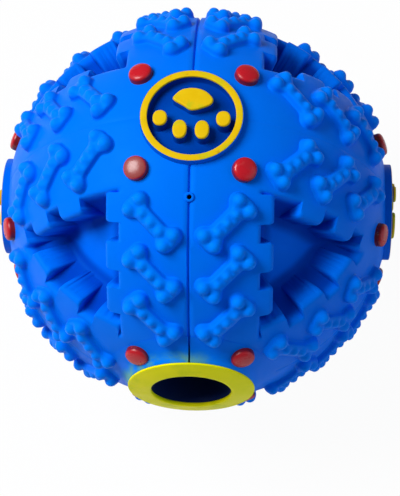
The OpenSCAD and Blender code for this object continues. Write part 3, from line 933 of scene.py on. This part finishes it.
# Shares of a knuckle's radius: the beads on the knuckles and on the shaft
KNUCKLE_BEAD = 0.84
SHAFT_BEAD = 0.62
BEAD_BLEND = 0.5


def bone_outline_field(points, size):
    """Signed distance to a bone's outline, below zero inside, with the shaft running into the knuckles."""
    half = size.bone_length / MM / 2
    pitch = size.knuckle_pitch / MM / 2
    radius = size.knuckle_radius / MM
    x, y = np.abs(points[..., 0]), np.abs(points[..., 1])
    knuckles = np.hypot(x - half, y - pitch) - radius
    shaft = np.hypot(np.clip(x - half, 0, None), y) - size.bone_shaft / MM / 2
    return smooth_min(knuckles, shaft, 1.6)


def outline_slope(points, size):
    step = 0.01
    dx = bone_outline_field(points + (step, 0), size) - bone_outline_field(points - (step, 0), size)
    dy = bone_outline_field(points + (0, step), size) - bone_outline_field(points - (0, step), size)
    slope = np.stack([dx, dy], -1)
    return slope / np.clip(np.linalg.norm(slope, axis=-1, keepdims=True), 1e-9, None)


def bone_outline(size, count):
    """Evenly spaced points on a bone's outline, anticlockwise."""
    turn = np.linspace(0, 2 * math.pi, 4 * count, endpoint=False)
    points = np.stack([BONE_ELLIPSE[0] * np.cos(turn), BONE_ELLIPSE[1] * np.sin(turn)], -1)
    for _ in range(SHRINK_STEPS):
        points -= 0.5 * bone_outline_field(points, size)[:, None] * outline_slope(points, size)
    closed = np.concatenate([points, points[:1]])
    run = np.concatenate([[0], np.cumsum(np.linalg.norm(np.diff(closed, axis=0), axis=1))])
    even = np.linspace(0, run[-1], count, endpoint=False)
    points = np.stack([np.interp(even, run, closed[:, k]) for k in (0, 1)], -1)
    for _ in range(SETTLE_STEPS):
        points -= bone_outline_field(points, size)[:, None] * outline_slope(points, size)
    return points


def bone_height(points, size):
    """Height of a bone's top: a low plate with four round knuckles and three small beads on its shaft."""
    half = size.bone_length / MM / 2
    pitch = size.knuckle_pitch / MM / 2
    radius = size.knuckle_radius / MM
    rise = size.bone_rise / MM
    edge = np.clip(1 + bone_outline_field(points, size) / 0.8, 0, 1)
    top = rise * PLATE_HEIGHT - 0.5 * edge ** 2
    beads = [(sx * half, sy * pitch, radius * KNUCKLE_BEAD, rise) for sx in (-1, 1) for sy in (-1, 1)]
    beads += [(x, 0.0, radius * SHAFT_BEAD, rise * SHAFT_BEAD_HEIGHT) for x in (-half * 0.5, 0.0, half * 0.5)]
    for x, y, bead, crest in beads:
        apart = np.hypot(points[..., 0] - x, points[..., 1] - y)
        dome = crest - bead + np.sqrt(np.clip(bead ** 2 - apart ** 2, 0, None))
        dome = np.where(apart < bead, dome, crest - bead - (apart - bead) * 3)
        top = smooth_max(top, dome, BEAD_BLEND)
    return top


def bone_grid(size):
    """Points in a grid of triangles over a bone's top, short of its edge."""
    reach = np.arange(-BONE_BOX[0], BONE_BOX[0], BONE_GRID)
    across = np.arange(-BONE_BOX[1], BONE_BOX[1], BONE_GRID * 0.866)
    grid = np.array([(x + (BONE_GRID / 2 if k % 2 else 0), y) for k, y in enumerate(across) for x in reach])
    return grid[bone_outline_field(grid, size) < -BONE_TOP_INSET - BONE_GRID * 0.45]


def wrapped(points, ball):
    """Points bent to the top of a ball, where their height stands above its surface."""
    direction = np.column_stack([points[:, :2], np.full(len(points), ball)])
    direction /= np.linalg.norm(direction, axis=1, keepdims=True)
    return direction * (ball + points[:, 2:])


def bone_mesh(size):
    """One bone on top of the ball at +Z, wrapped to its curve and flared at its foot."""
    count = BONE_POINTS
    outline = bone_outline(size, count)
    slope = outline_slope(outline, size)
    rows = [np.column_stack([outline + slope * reach, np.full(count, height)]) for reach, height in BONE_SIDE]
    edge = outline - slope * BONE_TOP_INSET
    rows.append(np.column_stack([edge, bone_height(edge, size)]))
    quads = row_quads(len(rows), count)
    flat = [Vector(p) for p in edge] + [Vector(p) for p in bone_grid(size)]
    out_points, _, out_faces, sources, _, _ = delaunay_2d_cdt(flat, [], [list(range(count))], 1, 1e-5)
    top = np.array([tuple(p) for p in out_points])
    base = len(rows) * count
    points = np.concatenate([*rows, np.column_stack([top, bone_height(top, size)])])
    number = [base + k for k in range(len(top))]
    for k, source in enumerate(sources):
        if source and min(source) < count:
            number[k] = base - count + min(source)
    triangles = [[number[c] for c in face] for face in out_faces]
    used = sorted(set(c for face in quads + triangles for c in face))
    place = {c: k for k, c in enumerate(used)}
    faces = [[[place[c] for c in face] for face in part] for part in (quads, triangles)]
    return wrapped(points, size.ball_radius / MM)[used], faces


def turn_about(tree, axis, angle, rotation=None):
    """Turns a rotation about a world axis; with none given, starts one."""
    made = add_node(tree, "FunctionNodeAxisAngleToRotation", {"Axis": axis, "Angle": angle}).outputs[0]
    if rotation is None:
        return made
    return add_node(tree, "FunctionNodeRotateRotation", {"Rotation": rotation, "Rotate By": made},
                    rotation_space="GLOBAL").outputs[0]


def spread_tree(name, inputs):
    """A geometry tree that takes a master piece, a material and a count, with the extra inputs given."""
    tree = new_group(name, "GeometryNodeTree",
                     {"Master": "NodeSocketObject", "Finish": "NodeSocketMaterial", "Copies": 1, **inputs},
                     ("Geometry",), "NodeSocketGeometry")
    return tree, tree.nodes.new("NodeGroupInput").outputs


def spread_on_ball(tree, source, rotation):
    """Ends a tree: one copy of the master on each point, turned, joined and given its finish."""
    points = add_node(tree, "GeometryNodeMeshLine", {"Count": source["Copies"], "Offset": (0, 0, 0)})
    master = add_node(tree, "GeometryNodeObjectInfo", {"Object": source["Master"]})
    copies = add_node(tree, "GeometryNodeInstanceOnPoints",
                      {"Points": points.outputs[0], "Instance": master.outputs["Geometry"],
                       "Rotation": rotation})
    real = add_node(tree, "GeometryNodeRealizeInstances", {0: copies.outputs[0]})
    finish = add_node(tree, "GeometryNodeSetMaterial",
                      {"Geometry": real.outputs[0], "Material": source["Finish"]})
    add_node(tree, "NodeGroupOutput", {0: finish.outputs[0]})
    return tree


def bone_tree():
    """72 bones: three treads, each with twelve places and two rows, slanting like a chevron."""
    tree, source = spread_tree("Bones On Treads", {"Bone Pitch": 0.25, "Row Angle": 0.18, "Slant": 0.78})
    index = add_node(tree, "GeometryNodeInputIndex").outputs[0]
    side = calc(tree, "MULTIPLY_ADD", calc(tree, "MODULO", index, 2.0), -2.0, 1.0)
    place = calc(tree, "MODULO", calc(tree, "FLOOR", calc(tree, "DIVIDE", index, 2.0)), 12.0)
    quarter = calc(tree, "FLOOR", calc(tree, "DIVIDE", calc(tree, "ADD", place, 0.5), 3.0))
    step = calc(tree, "SUBTRACT", calc(tree, "MODULO", place, 3.0), 1.0)
    tread = calc(tree, "FLOOR", calc(tree, "DIVIDE", calc(tree, "ADD", index, 0.5), 24.0))
    along = calc(tree, "ADD", calc(tree, "MULTIPLY_ADD", quarter, RIGHT_ANGLE, RIGHT_ANGLE / 2),
                 calc(tree, "MULTIPLY", step, source["Bone Pitch"]))
    slant = turn_about(tree, (0, 0, 1), calc(tree, "MULTIPLY", side, source["Slant"]))
    aside = turn_about(tree, (0, 1, 0), calc(tree, "MULTIPLY", side, source["Row Angle"]), slant)
    on_ring = turn_about(tree, (1, 0, 0), along, aside)
    second = calc(tree, "MULTIPLY", calc(tree, "GREATER_THAN", tread, 0.5), RIGHT_ANGLE)
    third = calc(tree, "MULTIPLY", calc(tree, "GREATER_THAN", tread, 1.5), RIGHT_ANGLE)
    turned = turn_about(tree, (0, 0, 1), second, on_ring)
    return spread_on_ball(tree, source, turn_about(tree, (1, 0, 0), third, turned))


def spread(name, tree, master, material, copies, **values):
    """Runs a geometry tree once and keeps its result as a plain mesh object."""
    carrier = add_object("carrier", bpy.data.meshes.new("carrier"))
    modifier = carrier.modifiers.new("spread", "NODES")
    modifier.node_group = tree
    ids = {item.name: item.identifier for item in tree.interface.items_tree if item.in_out == "INPUT"}
    for label, value in {"Master": master, "Finish": material, "Copies": copies, **values}.items():
        modifier[ids[label.replace("_", " ")]] = value
    mesh = evaluated_mesh(carrier)
    remove_object(carrier)
    remove_object(master)
    mesh.name = name
    return add_object(name, mesh)


class OBJECT_OT_treat_ball_bones(bpy.types.Operator):
    """Makes the raised bones on the three treads"""
    bl_idname = "object.treat_ball_bones"
    bl_label = "Raised Bones"

    def execute(self, context):
        size = sizes()
        master = new_object("bone", made_mesh(*bone_mesh(size)))
        bones = spread("raised_bones", bone_tree(), master, moulded_vinyl(), BONE_COUNT,
                       Bone_Pitch=size.bone_pitch, Row_Angle=size.bone_row, Slant=size.bone_slant)
        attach(bones, "ball")
        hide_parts("left_shell", "right_shell")
        return {"FINISHED"}


# The studs

STUD_COUNT = 24
# Half a stud's section, in millimetres from its axis and from the ball's centre, and its head's radius there
STUD_HEAD = 3.4
STUD_PROFILE = ((0, 59.35), (0.9, 59.32), (1.8, 59.22), (2.5, 59.06), (2.95, 58.86), (3.22, 58.58),
                (3.36, 58.22), (3.4, 57.8), (3.42, 57.1), (3.5, 56.75), (3.5, 56.2), (0, 56.0))


def stud_tree():
    """24 studs: four round each of the six faces."""
    tree, source = spread_tree("Studs Round Faces", {"Stud Angle": 0.37})
    index = add_node(tree, "GeometryNodeInputIndex").outputs[0]
    corner = calc(tree, "MODULO", index, 4.0)
    face = calc(tree, "FLOOR", calc(tree, "DIVIDE", calc(tree, "ADD", index, 0.5), 4.0))
    tilt = turn_about(tree, (0, 1, 0), source["Stud Angle"])
    spin = calc(tree, "MULTIPLY_ADD", corner, RIGHT_ANGLE, RIGHT_ANGLE / 2)
    round_face = turn_about(tree, (0, 0, 1), spin, tilt)
    belt_turn = calc(tree, "MULTIPLY", calc(tree, "MINIMUM", face, 4.0), RIGHT_ANGLE)
    on_belt = turn_about(tree, (1, 0, 0), belt_turn, round_face)
    over = calc(tree, "MULTIPLY", calc(tree, "GREATER_THAN", face, 3.5), RIGHT_ANGLE)
    under = calc(tree, "MULTIPLY", calc(tree, "GREATER_THAN", face, 4.5), -2 * RIGHT_ANGLE)
    return spread_on_ball(tree, source, turn_about(tree, (0, 1, 0), calc(tree, "ADD", over, under), on_belt))


class OBJECT_OT_treat_ball_studs(bpy.types.Operator):
    """Makes the red studs round the badges and the port"""
    bl_idname = "object.treat_ball_studs"
    bl_label = "Studs"

    def execute(self, context):
        size = sizes()
        share = size.stud_radius / MM / STUD_HEAD
        points, faces = lathe([(radius * share, height) for radius, height in STUD_PROFILE], 48)
        master = new_object("stud", made_mesh(points, faces))
        studs = spread("round_studs", stud_tree(), master, red_paint(), STUD_COUNT,
                       Stud_Angle=size.stud_angle)
        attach(studs, "ball")
        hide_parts(*(face + "_studs" for face in FACES))
        return {"FINISHED"}


# The paw badges, in millimetres, with heights above the ball's centre

RING_TOP = 57.3
PAD_TOP = 58.6
SEAT_HEIGHT = 50.69
FLANGE_RADIUS = 17.6
FLANGE_THICKNESS = 1.5
# Thickness of the yellow rings and caps
INLAY = 0.8
# Radius of the badge's domed floor
FLOOR_RADIUS = 55.65
# Points of each pad's outline
PAD_POINTS = 56
# Rows of a pad's navy side and of its yellow cap, from the bottom up: reach out from the outline, and height
PAD_SIDE = ((0.25, 53.2), (0.22, 54.6), (0.05, 55.3), (0.0, 56.0), (0.0, PAD_TOP - INLAY),
            (-0.08, PAD_TOP - 0.64))
PAD_CAP = ((-0.05, PAD_TOP - INLAY), (0.02, PAD_TOP - 0.7), (0.02, PAD_TOP - 0.45), (-0.07, PAD_TOP - 0.22),
           (-0.20, PAD_TOP - 0.08), (-0.34, PAD_TOP - 0.02), (-0.5, PAD_TOP))
# The main pad's outline, in millimetres across and along the badge
MAIN_PAD = ((-5.2, 4.9), (-4.6, 3.75), (-2.2, 2.25), (-0.6, 1.1), (1.1, 1.05), (3.1, 1.7), (5.1, 2.7),
            (5.85, 4.0), (5.3, 5.35), (3.6, 6.95), (1.2, 7.8), (-1.2, 7.8), (-3.4, 7.0))
# Each toe: its place across and along the badge, and its half width and half length
TOES = ((-8.55, -1.55, 1.97, 2.35), (8.75, -1.6, 1.97, 2.35), (-3.05, -4.95, 1.97, 2.8),
        (3.05, -5.05, 1.97, 2.8))
# An ellipse has the power 1, and a square 0
TOE_POWER = 0.9


def closed_spline(corners, count):
    """A smooth closed outline through a few corners."""
    corners = np.array(corners, float)
    number = len(corners)
    result = []
    for k in range(count):
        place = k * number / count
        i, t = int(place), place - int(place)
        a, b, c, d = (corners[(i + s) % number] for s in (-1, 0, 1, 2))
        result.append(0.5 * (2 * b + (c - a) * t + (2 * a - 5 * b + 4 * c - d) * t ** 2
                             + (3 * b - a - 3 * c + d) * t ** 3))
    return np.array(result)


def toe_outline(toe, count):
    """A slightly squared ellipse."""
    turn = np.linspace(0, 2 * math.pi, count, endpoint=False)
    circle = np.stack([np.cos(turn), np.sin(turn)], -1)
    return toe[:2] + np.sign(circle) * np.abs(circle) ** TOE_POWER * toe[2:]


def pad_outlines(count):
    """The five pads' outlines, each running anticlockwise."""
    outlines = [closed_spline(MAIN_PAD, count)] + [toe_outline(toe, count) for toe in TOES]
    result = []
    for outline in outlines:
        following = np.roll(outline, -1, axis=0)
        area = np.sum(outline[:, 0] * following[:, 1] - following[:, 0] * outline[:, 1])
        result.append(outline if area > 0 else outline[::-1])
    return result


def outline_normals(outline):
    along = np.roll(outline, -1, axis=0) - np.roll(outline, 1, axis=0)
    across = np.stack([along[:, 1], -along[:, 0]], -1)
    return across / np.linalg.norm(across, axis=1, keepdims=True)


def pad_solid(outline, rows):
    """A closed solid from an outline and rows of (reach outwards, height), from its bottom to its top."""
    count = len(outline)
    normals = outline_normals(outline)
    points = []
    for reach, height in rows:
        points.extend((x, y, height) for x, y in outline + normals * reach)
    top = tuple(range((len(rows) - 1) * count, len(rows) * count))
    bottom = tuple(range(count - 1, -1, -1))
    return points, [row_quads(len(rows), count), [top], [bottom]]


def ring_profile(size):
    outer = size.badge_radius / MM - 0.15
    inner = (size.badge_radius - size.ring_width) / MM
    low = RING_TOP - INLAY
    return rounded([(inner, low), (inner, RING_TOP), (outer, RING_TOP), (outer, low)], 0.28)


def cup_profile(size):
    """The badge: its domed floor, the recess wall, the ring's seat, the outer wall and the hidden flange."""
    outer = size.badge_radius / MM
    recess = (size.badge_radius - size.ring_width) / MM - 0.02
    floor = [(r, math.sqrt(FLOOR_RADIUS ** 2 - r ** 2)) for r in np.linspace(0, recess - 0.7, 10)]
    foot = floor[-1][1]
    corner = [(recess - 0.25, foot + 0.06), (recess - 0.05, foot + 0.35)]
    flange = SEAT_HEIGHT - FLANGE_THICKNESS
    seat = RING_TOP - INLAY + 0.1
    wall = [(recess, seat), (outer - 0.2, seat), (outer - 0.14, RING_TOP - 0.16),
            (outer - 0.05, RING_TOP - 0.12), (outer, RING_TOP - 0.4), (outer, SEAT_HEIGHT),
            (FLANGE_RADIUS, SEAT_HEIGHT), (FLANGE_RADIUS, flange), (0, flange)]
    return floor + corner + wall


def socket_ring():
    """The ring inside the bottom badge that holds the sound tube's foot."""
    top = SEAT_HEIGHT - FLANGE_THICKNESS
    return lathe([(9.05, top), (10.6, top), (10.6, top - 5), (9.05, top - 5)][::-1], 96, closed=True)


class OBJECT_OT_treat_ball_badges(bpy.types.Operator):
    """Makes the paw badges: navy cups, yellow rings and the pads' yellow caps"""
    bl_idname = "object.treat_ball_badges"
    bl_label = "Paw Badges"

    def execute(self, context):
        size = sizes()
        outlines = pad_outlines(PAD_POINTS)
        ring = lathe(ring_profile(size), FINE_SEGMENTS, closed=True)
        caps = merged([pad_solid(outline, PAD_CAP) for outline in outlines])
        for face in BADGE_FACES:
            matrix = face_matrix(face, PAW_SPINS[face])
            cup = [lathe(cup_profile(size), FINE_SEGMENTS)]
            cup += [pad_solid(outline, PAD_SIDE) for outline in outlines]
            if face == "bottom":
                cup.append(socket_ring())
            for part, node, material, slot in (
                    (merged(cup), face + "_badge", navy_vinyl(), "badge_vinyl"),
                    (ring, face + "_ring", yellow_paint(), "ring_yellow"),
                    (caps, face + "_paw", yellow_paint(), "paw_yellow")):
                made = new_object(node + "_moulding", made_mesh(*part, matrix), material, crease=40)
                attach(made, "ball")
                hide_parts(node)
        return {"FINISHED"}


# The treat port and the vent: sections round their own axes, in millimetres

COLLAR_PROFILE = ((12.95, SEAT_HEIGHT), (12.95, PAD_TOP - 1.2), (11.5, PAD_TOP - 1.2), (11.5, PAD_TOP),
                  (12.48, PAD_TOP), (18.2, 57.5), (18.2, 56.9), (14.25, 56.9), (14.25, SEAT_HEIGHT))
EYELET_PROFILE = ((0.65, 54.0), (0.65, 57.5), (1.15, 57.5), (1.4, 57.28), (1.4, 56.7), (0.95, 56.7),
                  (0.95, 54.0))


class OBJECT_OT_treat_ball_port(bpy.types.Operator):
    """Makes the treat port's painted collar and the vent's eyelet, and finishes the sleeve"""
    bl_idname = "object.treat_ball_port"
    bl_label = "Treat Port"

    def execute(self, context):
        turned = lathe(rounded(COLLAR_PROFILE, 0.45), FINE_SEGMENTS, closed=True)
        mesh = made_mesh(*turned, face_matrix("port"))
        collar = new_object("port_collar_moulding", mesh, greenish_paint(), crease=40)
        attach(collar, "ball")
        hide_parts("port_collar")
        turn = Matrix.Rotation(sizes().vent_angle, 4, "X")
        mesh = made_mesh(*lathe(rounded(EYELET_PROFILE, 0.14), 32, closed=True), turn)
        vent = new_object("vent_eyelet_moulding", mesh, moulded_vinyl(), crease=50)
        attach(vent, "ball")
        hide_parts("vent_eyelet")
        finish_node("treat_sleeve", plain_moulding("sleeve_plastic", (0.0, 0.012, 0.09), 0.45, 0.25))
        return {"FINISHED"}


def finish_node(name, material):
    """Gives a CAD node its finish."""
    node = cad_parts[name]
    node.data.materials.clear()
    node.data.materials.append(material)


class OBJECT_OT_treat_ball_sound_maker(bpy.types.Operator):
    """Finishes the sound tube, its cap, the reed and the sliding weight inside the ball"""
    bl_idname = "object.treat_ball_sound_maker"
    bl_label = "Sound Maker"

    def execute(self, context):
        tube = plain_moulding("tube_plastic", (0.78, 0.80, 0.80), 0.4, 0.4)
        for name in ("sound_tube", "sound_tube_cap"):
            finish_node(name, tube)
        brass = plain_moulding("reed_brass", (0.72, 0.50, 0.22), 0.3, 0.5, metallic=1.0)
        finish_node("sound_reed", brass)
        steel = plain_moulding("weight_steel", (0.50, 0.50, 0.52), 0.35, 0.5, metallic=1.0)
        finish_node("sliding_weight", steel)
        return {"FINISHED"}


# The stage

# Each lamp: its place to the right, up and towards the camera in metres, its width, its power and its colour
LAMPS = {"key": ((-0.62, 0.42, 0.70), 0.50, 11.5, (1.0, 1.0, 1.0)),
         "fill": ((0.80, -0.10, 0.45), 0.9, 2.2, (0.45, 0.82, 1.0))}


def add_lamp(name, place, width, power, colour):
    """A soft square lamp that faces the ball's centre."""
    light = bpy.data.lights.new(name, "AREA")
    light.shape = "SQUARE"
    light.size = width
    light.energy = power
    light.color = colour
    turn = place.to_track_quat("Z", "Y").to_matrix().to_4x4()
    add_object(name, light).matrix_world = Matrix.Translation(place) @ turn


def camera_axes(stage):
    """The camera's right, up and back directions while it looks at the ball's centre."""
    azimuth, elevation, roll = stage.azimuth, stage.elevation, stage.roll
    back = Vector((math.sin(azimuth) * math.cos(elevation), -math.cos(azimuth) * math.cos(elevation),
                   math.sin(elevation)))
    right = Vector((math.cos(azimuth), math.sin(azimuth), 0))
    up = back.cross(right)
    return (right * math.cos(roll) + up * math.sin(roll), up * math.cos(roll) - right * math.sin(roll), back)


def show_camera(tree, shader, shown, share, output):
    """Gives an output a shader, with another one shown to the camera alone, by a share."""
    path = add_node(tree, "ShaderNodeLightPath")
    seen = calc(tree, "MULTIPLY", path.outputs["Is Camera Ray"], share)
    mixed = add_node(tree, "ShaderNodeMixShader", {0: seen, 1: shader.outputs[0], 2: shown.outputs[0]})
    tree.links.new(mixed.outputs[0], tree.nodes[output].inputs["Surface"])


def white_floor():
    """Pale floor that looks white to the camera and keeps the ball's shadow."""
    material, tree, shader = new_material("pale_floor")
    shader.inputs["Base Color"].default_value = (0.86, 0.86, 0.86, 1)
    shader.inputs["Roughness"].default_value = 0.9
    shader.inputs["Specular IOR Level"].default_value = 0.1
    glow = add_node(tree, "ShaderNodeEmission", {"Color": (1, 1, 1, 1), "Strength": 1.0})
    show_camera(tree, shader, glow, 0.96, "Material Output")
    return material


def add_camera(stage):
    """The camera of the photo's view, which aims a little beside the ball's centre."""
    right, up, back = camera_axes(stage)
    down, yaw = stage.aim_down, stage.aim_right
    aim_back = back * math.cos(down) + up * math.sin(down)
    aim_up = up * math.cos(down) - back * math.sin(down)
    aim_right = right * math.cos(yaw) + aim_back * math.sin(yaw)
    aim_back = aim_right.cross(aim_up)
    camera = bpy.data.cameras.new("camera")
    camera.sensor_fit = "VERTICAL"
    camera.sensor_height = 24.0
    camera.lens = stage.lens
    camera.clip_start = 0.01
    made = add_object("camera", camera)
    turn = Matrix((aim_right, aim_up, aim_back)).transposed().to_4x4()
    made.matrix_world = Matrix.Translation(back * stage.distance) @ turn
    bpy.context.scene.camera = made


def studio_world():
    """Dim, cool light from all round, which looks white to the camera."""
    world = bpy.data.worlds.new("studio")
    world.use_nodes = True
    tree = world.node_tree
    plain = tree.nodes["Background"]
    plain.inputs["Color"].default_value = (0.95, 0.97, 1.0, 1)
    plain.inputs["Strength"].default_value = 0.16
    white = add_node(tree, "ShaderNodeBackground", {"Color": (1, 1, 1, 1), "Strength": 1.0})
    show_camera(tree, plain, white, 1.0, "World Output")
    return world


class OBJECT_OT_treat_ball_stage(bpy.types.Operator):
    """Makes the floor, the lamps and the camera"""
    bl_idname = "object.treat_ball_stage"
    bl_label = "Stage"

    def execute(self, context):
        scene = context.scene
        stage = scene.treat_ball_stage
        scene.view_settings.view_transform = "Standard"
        half = stage.floor_width / 2
        low = cad_box[0][2]
        corners = [(-half, -half, low), (half, -half, low), (half, half, low), (-half, half, low)]
        mesh = bpy.data.meshes.new("floor")
        fill_mesh(mesh, corners, [[(0, 1, 2, 3)]])
        floor = new_object("floor", mesh, white_floor())
        add_camera(stage)
        for name, (reaches, *settings) in LAMPS.items():
            place = sum((axis * reach for axis, reach in zip(camera_axes(stage), reaches)), Vector())
            add_lamp(name, place, *settings)
        scene.world = studio_world()
        return {"FINISHED"}


class VIEW3D_PT_treat_ball(bpy.types.Panel):
    """Lists the sizes, the colours and the pieces of the treat ball"""
    bl_label = "Treat Ball"
    bl_space_type = "VIEW_3D"
    bl_region_type = "UI"
    bl_category = "Treat Ball"

    def draw(self, context):
        layout = self.layout
        for group in (getattr(context.scene, name) for name in GROUPS):
            box = layout.box()
            for name in group.bl_rna.properties.keys():
                if name not in ("rna_type", "name"):
                    box.prop(group, name)
        for operator in OPERATORS:
            layout.operator(operator.bl_idname)


OPERATORS = (OBJECT_OT_treat_ball_stage, OBJECT_OT_treat_ball_shells, OBJECT_OT_treat_ball_bones,
             OBJECT_OT_treat_ball_studs, OBJECT_OT_treat_ball_badges, OBJECT_OT_treat_ball_port,
             OBJECT_OT_treat_ball_sound_maker)
GROUPS = {"treat_ball_sizes": TreatBallSizes, "treat_ball_colours": TreatBallColours,
          "treat_ball_stage": TreatBallStage}
CLASSES = (*GROUPS.values(), *OPERATORS, VIEW3D_PT_treat_ball)


def register():
    for cls in CLASSES:
        bpy.utils.register_class(cls)
    for name, group in GROUPS.items():
        setattr(bpy.types.Scene, name, bpy.props.PointerProperty(type=group))


def unregister():
    for name in GROUPS:
        delattr(bpy.types.Scene, name)
    for cls in reversed(CLASSES):
        bpy.utils.unregister_class(cls)


def main():
    register()
    bpy.ops.object.treat_ball_stage()
    bpy.ops.object.treat_ball_shells()
    bpy.ops.object.treat_ball_bones()
    bpy.ops.object.treat_ball_studs()
    bpy.ops.object.treat_ball_badges()
    bpy.ops.object.treat_ball_port()
    bpy.ops.object.treat_ball_sound_maker()


if __name__ == "__main__":
    main()
